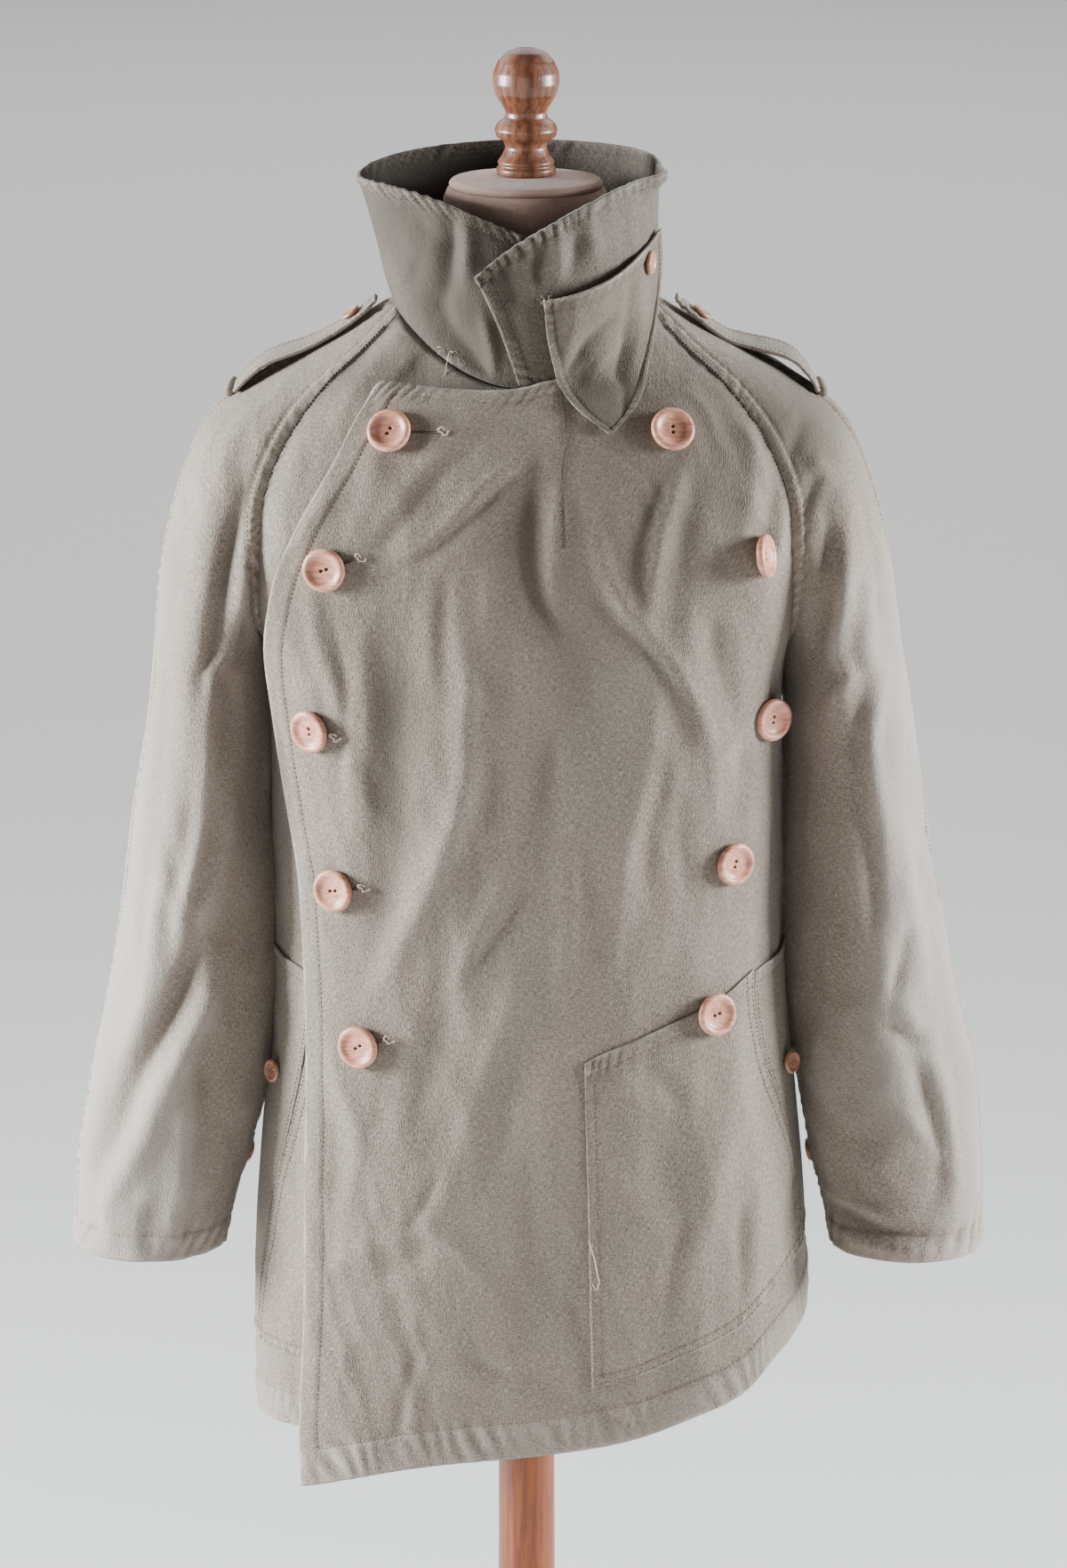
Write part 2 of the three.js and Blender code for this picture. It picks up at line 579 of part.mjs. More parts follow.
// A shoulder strap along the ridge of the sleeve: two layers that stand up in waves between their ends.
const STRAP = [
  { along: 0, share: 0.979, left: 4, right: 4.5 },
  { along: 0.16, share: 0.948, left: 3, right: 2.6 },
  { along: 0.36, share: 0.905, left: 0.3, right: 0.5 },
  { along: 0.5, share: 0.878, left: 2.5, right: 0.8 },
  { along: 0.76, share: 0.812, left: 9, right: 4.5 },
  { along: 0.9, share: 0.77, left: 6, right: 3 },
  { along: 1, share: 0.742, left: 0.6, right: 0.6 },
];
const STRAP_WIDTH = 44;
const STRAP_CLOTH = 2.2;
const STRAP_LOOP = { radius: 3.2, length: 30, share: 0.7315 };
const strapShare = track(STRAP, "along", (row) => row.share);
const strapLift = {
  left: track(STRAP, "along", (row) => row.left),
  right: track(STRAP, "along", (row) => row.right),
};
const strapPoint = (hand) => (across, along) => {
  const share = strapShare(along);
  const width = STRAP_WIDTH * (1 - 0.25 * smoothstep(-along, -0.08, 0));
  const turn = (across * width) / 2 / (degToRad(spread(share)) * 80);
  const off = CLOTH / 2 + SEAM + STRAP_CLOTH / 2 + strapLift[hand](along);
  return over(sleevePoint, off, -1)(turn, 1 - share);
};
function loopSolid() {
  const ends = [-1, 0, 1].map((end) => {
    const turn = (end * STRAP_LOOP.length) / 2 / (degToRad(spread(STRAP_LOOP.share)) * 80);
    return over(sleevePoint, CLOTH / 2 + STRAP_LOOP.radius, -1)(turn, 1 - STRAP_LOOP.share);
  });
  const path = new THREE.CatmullRomCurve3(ends);
  const section = new THREE.Shape().absarc(0, 0, STRAP_LOOP.radius, 0, 2 * Math.PI);
  return new THREE.ExtrudeGeometry(section, { steps: 4, curveSegments: 4, extrudePath: path });
}
for (const hand of ["left", "right"]) {
  const strap = new Cloth(strapPoint(hand), evenly(1, -1, 4), evenly(0, 1, 14));
  add(jacket, `${hand}_epaulette`, onHand(strap.solid(STRAP_CLOTH), hand), canvas);
  add(jacket, `${hand}_epaulette_loop`, onHand(loopSolid(), hand), canvas);
}

// A strap round the back of each cuff, on the side towards the body.
const CUFF_TAB = { from: 0.5, to: 0.97, low: 842, high: 872 };
const cuffGround = (hand) => over((turn, level) => sleevePoint(turn, level, hand), LYING, -1);
const sleeveLevelAt = (z) => 1 + (ARMPIT_Z - z) / (ARMPIT_Z - CUFF_Z);
for (const hand of ["left", "right"]) {
  const surface = (turn, z) => cuffGround(hand)(turn, sleeveLevelAt(z));
  const turns = evenly(CUFF_TAB.to, CUFF_TAB.from, 8);
  const cuffTab = new Cloth(surface, turns, evenly(CUFF_TAB.low, CUFF_TAB.high, 2));
  add(jacket, `${hand}_cuff_tab`, onHand(cuffTab.solid(CLOTH), hand), canvas);
}

/* ---- Buttons ---- */
function turnedSolid(profile, segments) {
  const lathe = new THREE.LatheGeometry(
    profile.map(([r, z]) => new THREE.Vector2(r, z)),
    segments,
  );
  return lathe.rotateX(Math.PI / 2);
}

function manifoldOf(geometry) {
  const bare = new THREE.BufferGeometry();
  bare.setAttribute("position", geometry.getAttribute("position"));
  bare.setIndex(geometry.index);
  const merged = mergeVertices(bare, 1e-4);
  const mesh = new wasm.Mesh({
    numProp: 3,
    vertProperties: new Float32Array(merged.attributes.position.array),
    triVerts: new Uint32Array(merged.index.array),
  });
  return new wasm.Manifold(mesh);
}

// Cuts each tool from a solid.
function cut(geometry, tools) {
  const left = tools.reduce((body, tool) => body.subtract(manifoldOf(tool)), manifoldOf(geometry));
  const mesh = left.getMesh();
  const result = new THREE.BufferGeometry();
  result.setAttribute("position", new THREE.BufferAttribute(mesh.vertProperties, 3));
  result.setIndex(new THREE.BufferAttribute(mesh.triVerts, 1));
  result.computeVertexNormals();
  return result;
}

const LARGE_BUTTON = {
  profile: [[0, 0], [12.6, 0], [15, 2.6], [14, 5.2], [11.8, 5.8], [9.8, 3.8], [0, 3.2]],
  segments: 18,
  holes: [[-2, 0], [2, 0]],
  holeRadius: 1.1,
};
const SMALL_BUTTON = {
  profile: [[0, 0], [7.2, 0], [8.5, 1.6], [7.6, 3.3], [6.1, 3.5], [5.2, 2.5], [0, 2.3]],
  segments: 12,
  holes: [[-1.4, 0], [1.4, 0], [0, -1.4], [0, 1.4]],
  holeRadius: 0.7,
};
function buttonSolid({ profile, segments, holes, holeRadius }, size = 1) {
  const drills = holes.map(([x, y]) =>
    new THREE.CylinderGeometry(holeRadius, holeRadius, 20, 5).rotateX(Math.PI / 2).translate(x, y, 0),
  );
  return cut(turnedSolid(profile, segments), drills).scale(size, size, size);
}
const largeButton = buttonSolid(LARGE_BUTTON);
const smallButton = buttonSolid(SMALL_BUTTON);

// Sets a button down on a surface: spin turns its holes, and lean tips it about the upright, both in
// degrees.
function sewOn(name, button, surface, [a, b], { off, facing = 1, spin = 0, lean = 0, flip = false }) {
  const normal = outward(surface, a, b, facing);
  const origin = surface(a, b).addScaledVector(normal, off);
  const across = vec(0, 0, 1).cross(normal).normalize();
  const up = normal.clone().cross(across);
  const solid = button.clone().rotateZ(degToRad(spin)).rotateY(degToRad(lean));
  solid.applyMatrix4(new THREE.Matrix4().makeBasis(across, up, normal).setPosition(origin));
  return add(jacket, name, flip ? mirrored(solid) : solid, buttonWood);
}

// side and level on the left front. lift raises a button that lies on the pocket or leans.
const LARGE_BUTTONS = [
  { name: "right_1", side: -0.416, level: 1.815, spin: 65, lift: 0, lean: 0 },
  { name: "right_2", side: -0.532, level: 1.39, spin: 20, lift: 0, lean: 0 },
  { name: "right_3", side: -0.58, level: 0.938, spin: 90, lift: 0, lean: 0 },
  { name: "right_4", side: -0.516, level: 0.743, spin: 10, lift: 0, lean: 0 },
  { name: "right_5", side: -0.436, level: 0.552, spin: 35, lift: 0, lean: 0 },
  { name: "left_1", side: 0.455, level: 1.813, spin: 85, lift: 0, lean: 0 },
  { name: "left_2", side: 0.646, level: 1.414, spin: 80, lift: 2.4, lean: 13 },
  { name: "left_3", side: 0.743, level: 0.926, spin: 80, lift: 0, lean: 0 },
  { name: "left_4", side: 0.559, level: 0.74, spin: 75, lift: 0, lean: 0 },
  { name: "left_5", side: 0.479, level: 0.545, spin: 15, lift: LYING, lean: 0 },
];
for (const { name, side, level, spin, lift, lean } of LARGE_BUTTONS) {
  const off = CLOTH / 2 + SEAM + lift;
  sewOn(`button_${name}`, largeButton, leftFrontPoint, [side, level], { off, spin, lean });
}
for (const [hand, side, level] of [["left", 0.827, 0.392], ["right", 0.822, 0.46]]) {
  const off = CLOTH / 2 + SEAM + LYING;
  const flip = hand === "right";
  sewOn(`${hand}_pocket_button`, smallButton, pocketGround[hand], [side, level], { off, flip });
}
sewOn("throat_button", smallButton, (u, v) => tabPoint(u, 1 - v), [0.84, 0.88], { off: CLOTH / 2 + SEAM });
const strapButton = smallButton.clone().scale(0.85, 0.85, 0.85);
const cuffButton = smallButton.clone();
for (const hand of ["left", "right"]) {
  const flip = hand === "right";
  const cuff = (turn, z) => cuffGround(hand)(turn, sleeveLevelAt(z));
  const set = { off: STRAP_CLOTH / 2 + SEAM, facing: -1, flip };
  sewOn(`${hand}_epaulette_button`, strapButton, strapPoint(hand), [0, 0.17], set);
  sewOn(`${hand}_cuff_button`, cuffButton, cuff, [0.92, 857], { off: CLOTH / 2 + SEAM, facing: 1, flip });
}

/* ---- Dress form ---- */
// Sections of the linen-covered body and neck, each half an ellipse in front and half behind, with a
// power of its own.
const FORM = [
  { z: 790, halfWidth: 150, front: 98, back: 96, square: 2.4 },
  { z: 870, halfWidth: 152, front: 100, back: 99, square: 2.4 },
  { z: 1000, halfWidth: 146, front: 100, back: 94, square: 2.3 },
  { z: 1100, halfWidth: 152, front: 106, back: 98, square: 2.3 },
  { z: 1200, halfWidth: 162, front: 112, back: 104, square: 2.3 },
  { z: 1290, halfWidth: 170, front: 112, back: 108, square: 2.3 },
  { z: 1345, halfWidth: 180, front: 103, back: 104, square: 2.2 },
  { z: 1378, halfWidth: 184, front: 92, back: 94, square: 2.1 },
  { z: 1398, halfWidth: 178, front: 82, back: 86, square: 2 },
  { z: 1412, halfWidth: 164, front: 74, back: 79, square: 1.9 },
  { z: 1426, halfWidth: 142, front: 64, back: 70, square: 1.6 },
  { z: 1441, halfWidth: 113, front: 58, back: 64, square: 1.5 },
  { z: 1460, halfWidth: 81, front: 56, back: 60, square: 1.6 },
  { z: 1478, halfWidth: 64, front: 55, back: 58, square: 1.9 },
  { z: 1497, halfWidth: 57, front: 54, back: 56, square: 2 },
  { z: 1531, halfWidth: 56, front: 54, back: 56, square: 2 },
  { z: 1538, halfWidth: 53, front: 51, back: 53, square: 2 },
];
const FORM_SIDES = 24;
function formSolid() {
  const position = [];
  const index = [];
  for (const { z, halfWidth, front, back: behind, square } of FORM)
    for (let i = 0; i < FORM_SIDES; i += 1) {
      const angle = (i / FORM_SIDES) * 2 * Math.PI;
      const bow = (t) => Math.sign(t) * Math.abs(t) ** (2 / square);
      const depth = Math.sin(angle) > 0 ? behind : front;
      position.push(halfWidth * bow(Math.cos(angle)), depth * bow(Math.sin(angle)), z);
    }
  FORM.slice(1).forEach((_, j) => {
    for (let i = 0; i < FORM_SIDES; i += 1) {
      const a = j * FORM_SIDES + i;
      const b = j * FORM_SIDES + ((i + 1) % FORM_SIDES);
      index.push(a, b, b + FORM_SIDES, a, b + FORM_SIDES, a + FORM_SIDES);
    }
  });
  const top = (FORM.length - 1) * FORM_SIDES;
  for (let i = 1; i + 1 < FORM_SIDES; i += 1) {
    index.push(0, i + 1, i);
    index.push(top, top + i, top + i + 1);
  }
  const geometry = new THREE.BufferGeometry();
  geometry.setAttribute("position", new THREE.Float32BufferAttribute(position, 3));
  geometry.setIndex(index);
  geometry.computeVertexNormals();
  return geometry;
}
add(form, "form_torso", formSolid(), linen);

// Radius and height down the axis of each turned piece.
const NECK_CAP = [
  [0, 1538.3], [51, 1538.3], [52.5, 1541], [50, 1544], [30, 1546], [24, 1546.5], [0, 1546.5],
];
const FINIAL = [
  [0, 1546.8], [20, 1546.8], [20.3, 1551], [18.3, 1553], [19.5, 1555.5], [16, 1560], [14, 1565], [15, 1569],
  [20, 1572.5], [21.5, 1577], [19.5, 1581.5], [14.5, 1585], [14, 1589], [16.5, 1594], [21, 1601], [22.7, 1608],
  [22.3, 1615], [19, 1623], [13, 1629], [6, 1631.6], [0, 1632],
];
const POLE = [[0, 34.3], [22.5, 34.3], [20.5, 527], [19.5, 789.7], [0, 789.7]];
const BASE = [[0, 0], [188, 0], [192, 5], [192, 12], [184, 20], [64, 28], [40, 34], [0, 34]];
add(form, "neck_cap", turnedSolid(NECK_CAP, 24), turnedWood);
add(form, "finial", turnedSolid(FINIAL, 12), turnedWood);
add(form, "pole", turnedSolid(POLE, 18), turnedWood);
add(form, "base", turnedSolid(BASE, 32), turnedWood);

export default new THREE.Group().add(jacket, form);
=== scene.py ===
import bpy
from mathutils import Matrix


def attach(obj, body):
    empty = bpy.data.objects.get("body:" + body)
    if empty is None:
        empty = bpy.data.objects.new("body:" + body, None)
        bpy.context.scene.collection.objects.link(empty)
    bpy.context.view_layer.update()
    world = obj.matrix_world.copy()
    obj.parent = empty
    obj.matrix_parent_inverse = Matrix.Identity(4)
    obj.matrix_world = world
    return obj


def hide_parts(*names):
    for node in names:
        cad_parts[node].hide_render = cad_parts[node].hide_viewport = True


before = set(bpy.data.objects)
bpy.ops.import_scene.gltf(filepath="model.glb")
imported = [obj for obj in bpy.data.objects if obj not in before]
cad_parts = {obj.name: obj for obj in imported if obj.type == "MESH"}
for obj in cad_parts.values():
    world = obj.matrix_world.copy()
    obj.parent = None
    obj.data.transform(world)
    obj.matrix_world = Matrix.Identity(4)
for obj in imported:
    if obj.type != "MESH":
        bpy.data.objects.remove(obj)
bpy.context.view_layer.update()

from types import SimpleNamespace

import bmesh
import bpy
import numpy as np
from mathutils import Matrix

# ---- Dress form: stuffed body and neck -------------------------------------------------------
# A limbless body of papier mache covered in plain linen, pinkish beige where the neck shows. The
# jacket hangs on its shoulders, and below it the body is cut off level, round the pole.
MM = 0.001


def curves(names, *rows):
    """One smooth curve for each column of a table against its first column. Between two rows it is
    a cubic whose slope at a row is that of the chord between the rows before and after it."""
    table = np.array(rows, float)
    along = table[:, 0]
    last = len(along) - 1
    before, after = np.maximum(np.arange(last + 1) - 1, 0), np.minimum(np.arange(last + 1) + 1, last)

    def curve(values):
        slope = (values[after] - values[before]) / (along[after] - along[before])

        def at(place):
            place = np.clip(place, along[0], along[-1])
            i = np.clip(np.searchsorted(along, place, side="right") - 1, 0, last - 1)
            width = along[i + 1] - along[i]
            k = (place - along[i]) / width
            held = (1 + 2 * k) * (1 - k) ** 2 * values[i] + k * k * (3 - 2 * k) * values[i + 1]
            return held + width * (k * (1 - k) ** 2 * slope[i] - k * k * (1 - k) * slope[i + 1])

        return at

    return SimpleNamespace(**{n: curve(table[:, i + 1]) for i, n in enumerate(names.split())})


def grid_faces(rows, columns, round_it=False):
    """The four corners of every face of a grid, row by row. round_it joins the last column to the
    first one."""
    corner = np.arange(rows * columns).reshape(rows, columns)
    if round_it:
        corner = np.hstack([corner, corner[:, :1]])
    corners = [corner[:-1, :-1], corner[:-1, 1:], corner[1:, 1:], corner[1:, :-1]]
    return np.stack(corners, -1).reshape(-1, 4)


def put_mesh(name, points, faces, finish):
    """A smooth-shaded object from points in millimetres and their faces."""
    mesh = bpy.data.meshes.new(name)
    mesh.from_pydata(points.reshape(-1, 3) * MM, [], faces)
    mesh.shade_smooth()
    mesh.materials.append(finish)
    piece = bpy.data.objects.new(name, mesh)
    bpy.context.collection.objects.link(piece)
    return piece


def close_up(piece, nearest=0.00001):
    """Joins points that fall together on an axis or a seam."""
    shape = bmesh.new()
    shape.from_mesh(piece.data)
    bmesh.ops.remove_doubles(shape, verts=shape.verts, dist=nearest)
    shape.to_mesh(piece.data)
    shape.free()
    return piece


def fit(piece, slot, *nodes):
    """Every piece rides on the one body and stands for its CAD nodes; its slot is not used."""
    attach(piece, "root")
    if nodes:
        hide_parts(*nodes)
    return piece


class Amount:
    """A number that varies over a finish. Arithmetic on it adds Math nodes."""

    def __init__(self, socket):
        self.socket = socket

    def math(self, operation, *others):
        """One Math node on this amount and the others."""
        node = self.socket.id_data.nodes.new("ShaderNodeMath")
        node.operation = operation
        for entry, term in zip(node.inputs, (self, *others)):
            feed(entry, term)
        return Amount(node.outputs[0])

    def __add__(self, other):
        return self.math("ADD", other)

    def __mul__(self, other):
        return self.math("MULTIPLY", other)

    __radd__ = __add__
    __rmul__ = __mul__


def feed(entry, term):
    """Links a socket or an Amount to an input, or sets the input's own value."""
    source = getattr(term, "socket", term)
    if isinstance(source, bpy.types.NodeSocket):
        entry.id_data.links.new(source, entry)
    elif entry.type == "RGBA" and len(source) == 3:
        entry.default_value = (*source, 1)
    else:
        entry.default_value = source


class Finish:
    """A material under construction round one Principled shader. node() adds any other node from its
    type, its settings, and the values or links of its sockets."""

    def __init__(self, name, **constants):
        self.material = bpy.data.materials.new(name)
        self.material.use_nodes = True
        self.nodes = self.material.node_tree.nodes
        self.shader = self.nodes["Principled BSDF"]
        for socket, value in constants.items():
            feed(self.shader.inputs[socket.replace("_", " ")], value)

    def node(self, kind, settings=None, sockets=None):
        node = self.nodes.new("ShaderNode" + kind)
        for setting, value in (settings or {}).items():
            setattr(node, setting, value)
        for socket, value in (sockets or {}).items():
            feed(node.inputs[socket], value)
        return node

    def place(self, output="Object"):
        """Places on the piece itself, or on its UV map."""
        return self.node("TexCoord").outputs[output]

    def field(self, name):
        """A number kept at the points of the mesh."""
        return Amount(self.node("Attribute", {"attribute_name": name}).outputs["Fac"])

    def noise(self, place, size, stretch=(1, 1, 1), detail=2.0, turn=(0, 0, 0)):
        """Cloudy noise from 0 to 1. size is its grain in metres and stretch lengthens the grain."""
        scale = [1 / (size * s) for s in stretch]
        moved = self.node("Mapping", None, {"Vector": place, "Scale": scale, "Rotation": turn})
        sockets = {"Vector": moved.outputs[0], "Scale": 1.0, "Detail": detail}
        return Amount(self.node("TexNoise", None, sockets).outputs["Fac"])

    def step(self, value, low, high):
        """0 below low and 1 above high, with a smooth rise between."""
        settings = {"interpolation_type": "SMOOTHSTEP"}
        sockets = {"Value": value, "From Min": low, "From Max": high}
        return Amount(self.node("MapRange", settings, sockets).outputs[0])

    def mix(self, share, first, second):
        """The first colour where share is 0, the second where it is 1."""
        node = self.node("Mix", {"data_type": "RGBA"})
        for place, term in ((0, share), (6, first), (7, second)):
            feed(node.inputs[place], term)
        return node.outputs[2]

    def bump(self, height, depth, after=None):
        """A relief of the given depth in metres, on top of an earlier one."""
        sockets = {"Height": height, "Distance": depth, "Strength": 1.0}
        if after is not None:
            sockets["Normal"] = after
        return self.node("Bump", None, sockets).outputs[0]

    def wear(self, **varying):
        """Feeds what varies into the shader, and gives the finished material."""
        for socket, value in varying.items():
            feed(self.shader.inputs[socket.replace("_", " ")], value)
        return self.material


def linen_finish():
    """Plain linen: crossed threads half a millimetre apart, over soft clouds of a pinkish beige."""
    f = Finish("linen", Roughness=0.92, Sheen_Weight=0.15, Specular_IOR_Level=0.2)
    place = f.place()
    warp = f.noise(place, 0.0007, (1, 1, 14))
    weft = f.noise(place, 0.0007, (10, 10, 1))
    clouds = f.noise(place, 0.03, detail=4)
    threads = warp * 0.5 + weft * 0.5
    colour = f.mix(f.step(clouds, 0.3, 0.7), (0.43, 0.28, 0.235), (0.52, 0.36, 0.3))
    colour = f.mix(f.step(threads, 0.35, 0.65) * 0.4, colour, (0.24, 0.15, 0.12))
    return f.wear(Base_Color=colour, Normal=f.bump(threads, 0.0004))


linen = linen_finish()


# Level sections of the body and neck, half an ellipse in front and half behind, with a power.
form = curves(
    "half_width front back square",
    (790, 150, 98, 96, 2.4),
    (870, 152, 100, 99, 2.4),
    (1000, 146, 100, 94, 2.3),
    (1100, 152, 106, 98, 2.3),
    (1200, 162, 112, 104, 2.3),
    (1290, 170, 112, 108, 2.3),
    (1345, 180, 103, 104, 2.2),
    (1378, 184, 92, 94, 2.1),
    (1398, 178, 82, 86, 2.0),
    (1412, 164, 74, 79, 1.9),
    (1426, 142, 64, 70, 1.6),
    (1441, 113, 58, 64, 1.5),
    (1460, 81, 56, 60, 1.6),
    (1478, 64, 55, 58, 1.9),
    (1497, 57, 54, 56, 2.0),
    (1531, 56, 54, 56, 2.0),
    (1538, 53, 51, 53, 2.0),
)


def form_body(angle, height, inwards):
    """The section's curve at a height: each coordinate is a cosine or sine raised to two over the
    section's power. inwards draws a ring towards the middle, for the two flat ends."""
    bow = lambda t: np.sign(t) * np.abs(t) ** (2 / form.square(height))
    depth = np.where(np.sin(angle) > 0, form.back(height), form.front(height))
    x = form.half_width(height) * bow(np.cos(angle))
    return np.stack([x * inwards, depth * bow(np.sin(angle)) * inwards, height], -1)


FORM_FOOT, FORM_TOP = 790, 1538
FORM_ROWS, FORM_COLUMNS = 120, 96
walls = np.linspace(FORM_FOOT, FORM_TOP - 0.3, FORM_ROWS)
heights = np.concatenate([[FORM_FOOT] * 2, walls, [FORM_TOP] * 2])
inwards = np.concatenate([[0, 0.98], np.ones(FORM_ROWS), [0.99, 0]])
angles = np.linspace(0, 2 * np.pi, FORM_COLUMNS + 1)[:-1]
rings = form_body(angles[None, :], heights[:, None] + 0 * angles, inwards[:, None] + 0 * angles)
linen_body = put_mesh("linen_body", rings, grid_faces(*rings.shape[:2], True), linen)
fit(close_up(linen_body), "linen", "form_torso")

# ---- Dress form: neck cap and turned wood ----------------------------------------------------
# A flat wooden cap on the neck, covered in the same linen, a knob on it, and the pole and round foot
# that carry the form. They are turned from a light hardwood, stained and varnished, the knob darkest.


def turned(name, node, finish, *profile, sides=72, every=1.2, soften=2):
    """Spins a profile of radius and height about the upright axis. Its straight runs are cut into
    short steps, and each pass of softening averages a step with its neighbours, which rounds the
    corners."""
    profile = np.array(profile, float)
    runs = np.linalg.norm(np.diff(profile, axis=0), axis=1)
    along = np.concatenate([[0], np.cumsum(runs)])
    steps = np.union1d(np.linspace(0, along[-1], int(along[-1] / every)), along)
    line = np.stack([np.interp(steps, along, profile[:, i]) for i in (0, 1)], -1)
    for _ in range(soften):
        line[1:-1] = (line[:-2] + 2 * line[1:-1] + line[2:]) / 4
    angle = np.linspace(0, 2 * np.pi, sides + 1)[:-1]
    radius, height = line[:, :1], line[:, 1:] + 0 * angle
    points = np.stack([radius * np.cos(angle), radius * np.sin(angle), height], -1)
    piece = put_mesh(name, points, grid_faces(*points.shape[:2], True), finish)
    return fit(close_up(piece), "turned_wood", node)


def turned_wood(name, pale, dark, coat):
    """Varnished hardwood: long streaks of grain up the piece, finer pores in them, and darker clouds
    where the stain took more."""
    f = Finish(name, Coat_Weight=coat, Coat_Roughness=0.22)
    place = f.place()
    streaks = f.noise(place, 0.004, (1, 1, 16), detail=5)
    pores = f.noise(place, 0.0009, (1, 1, 22), detail=2)
    clouds = f.noise(place, 0.035, (1, 1, 1.6), detail=3)
    colour = f.mix(f.step(streaks, 0.32, 0.68), dark, pale)
    colour = f.mix(f.step(clouds, 0.4, 0.75) * 0.5, colour, dark)
    colour = f.mix(f.step(pores, 0.56, 0.7) * 0.5, colour, tuple(0.45 * c for c in dark))
    rough = f.step(streaks, 0.3, 0.7) * 0.12 + 0.34
    return f.wear(Base_Color=colour, Roughness=rough, Normal=f.bump(pores, 0.0002))


turned(
    "neck_cap_turned", "neck_cap", linen,
    (0, 1538.3), (51, 1538.3), (52.5, 1541), (50, 1544), (30, 1546), (24, 1546.5), (0, 1546.5),
)
turned(
    "finial_turned", "finial", turned_wood("knob_wood", (0.24, 0.088, 0.042), (0.11, 0.036, 0.016), 0.5),
    (0, 1546.8), (20, 1546.8), (20.3, 1551), (18.3, 1553), (19.5, 1555.5), (16, 1560), (14, 1565),
    (15, 1569), (20, 1572.5), (21.5, 1577), (19.5, 1581.5), (14.5, 1585), (14, 1589), (16.5, 1594),
    (21, 1601), (22.7, 1608), (22.3, 1615), (19, 1623), (13, 1629), (6, 1631.6), (0, 1632),
)

pole_wood = turned_wood("pole_wood", (0.27, 0.068, 0.014), (0.16, 0.033, 0.007), 0.04)
turned(
    "pole_turned", "pole", pole_wood, (0, 34.3), (22.5, 34.3), (20.5, 527), (19.5, 789.7), (0, 789.7),
    every=12, soften=0, sides=48,
)
turned(
    "base_turned", "base", pole_wood, (0, 0), (188, 0), (192, 5), (192, 12), (184, 20), (64, 28),
    (40, 34), (0, 34), every=3, sides=96,
)

# ---- Left front ------------------------------------------------------------------------------
# One wide panel of khaki cotton canvas that buttons over the right front, with its free edge turned
# and stitched, a dart down from the neck and a hem turned up 27 mm and stitched. It is sewn to the
# sleeve, the collar and the side of the back.
ARMPIT_Z = 1224
CUFF_Z = 797
DRIFT = 6  # how far the hem lies over towards the wearer's left
LAP = 5  # how far the left front lies outside the right one
CANVAS_WALL = 1.2
HEM = 27  # how far the hems are turned up

# Level sections of the body tube below the armpits.
body = curves(
    "half_width front back square",
    (630, 193, 127, 128, 3.2),
    (690, 197, 129, 128, 3.1),
    (760, 194, 131, 127, 3.0),
    (860, 187, 133, 124, 2.8),
    (950, 180, 132, 120, 2.6),
    (1045, 177, 130, 117, 2.5),
    (1140, 176, 129, 117, 2.6),
    (ARMPIT_Z, 176, 126, 118, 2.9),
)
# From the armpits (0) to the neck (1): the raglan seam in front (fx fy fz) and behind (bx by bz),
# the ridge of the sleeve between them (rx ry rz), the half angle the sleeve's arc spans, the middle
# of the chest (cy cz) and of the back (ny nz), and the powers at the ends and in the middle of a row.
shoulder = curves(
    "fx fy fz bx by bz rx ry rz spread cy cz ny nz square round",
    (0.00, 176, 0, 1224, 176, 0, 1224, 255, 0, 1224, 180, -126, 1224, 118, 1224, 2.9, 2.9),
    (0.07, 180, -34, 1234, 179, 33, 1234, 255, 0, 1240, 156.4, -127, 1237, 119, 1241, 2.8, 2.1),
    (0.20, 180, -64, 1262, 178, 66, 1265, 251, 0, 1272, 130, -128, 1262, 121, 1271, 2.5, 1.6),
    (0.40, 179, -78, 1305, 174, 82, 1312, 243, 1, 1314, 110, -128, 1300, 122, 1318, 2.3, 1.4),
    (0.55, 176, -80, 1340, 168, 88, 1348, 231, 2, 1352, 101, -125, 1329, 119, 1354, 2.2, 1.3),
    (0.68, 165, -76, 1370, 156, 87, 1380, 213, 3, 1386, 93, -120, 1354, 113, 1384, 2.1, 1.3),
    (0.80, 148, -67, 1397, 140, 80, 1408, 178, 4, 1412, 86, -112, 1377, 104, 1413, 2.1, 1.3),
    (0.88, 130, -58, 1417, 122, 68, 1427, 148, 5, 1428, 78, -104, 1392, 95, 1432, 2.0, 1.3),
    (0.94, 109, -40, 1433, 104, 48, 1442, 118, 5, 1443, 70, -96, 1404, 86, 1446, 2.0, 1.3),
    (1.00, 85, -15, 1455, 85, 22, 1459, 87, 5, 1463, 62, -86, 1415, 76, 1460, 2.0, 1.3),
)
left_hem = curves(
    "z", (-0.62, 638), (-0.28, 662), (0.04, 674), (0.21, 683), (0.37, 698), (0.52, 712),
    (0.62, 729), (0.74, 742), (0.91, 753), (1, 766),
).z
# The free edge, from the hem (0) through the armpits (1) to the neck (2): where across the body it
# lies, and how far it stands off what is beneath.
lapel = curves(
    "side lift", (0, -0.615, 2), (0.2, -0.595, 1), (0.41, -0.612, 1), (0.74, -0.651, 2),
    (0.84, -0.698, 4), (0.95, -0.73, 9), (1.07, -0.732, 13), (1.25, -0.723, 11), (1.41, -0.7, 6),
    (1.53, -0.643, 4), (1.65, -0.591, 3), (1.79, -0.558, 2), (2, -0.574, 1),
)


def blend(share, first, second):
    """first where share is 0, second where it is 1."""
    return first + (second - first) * share


def smooth(value, low, high):
    """0 below low, 1 above high, and a smooth rise between."""
    t = np.clip((value - low) / (high - low), 0, 1)
    return t * t * (3 - 2 * t)


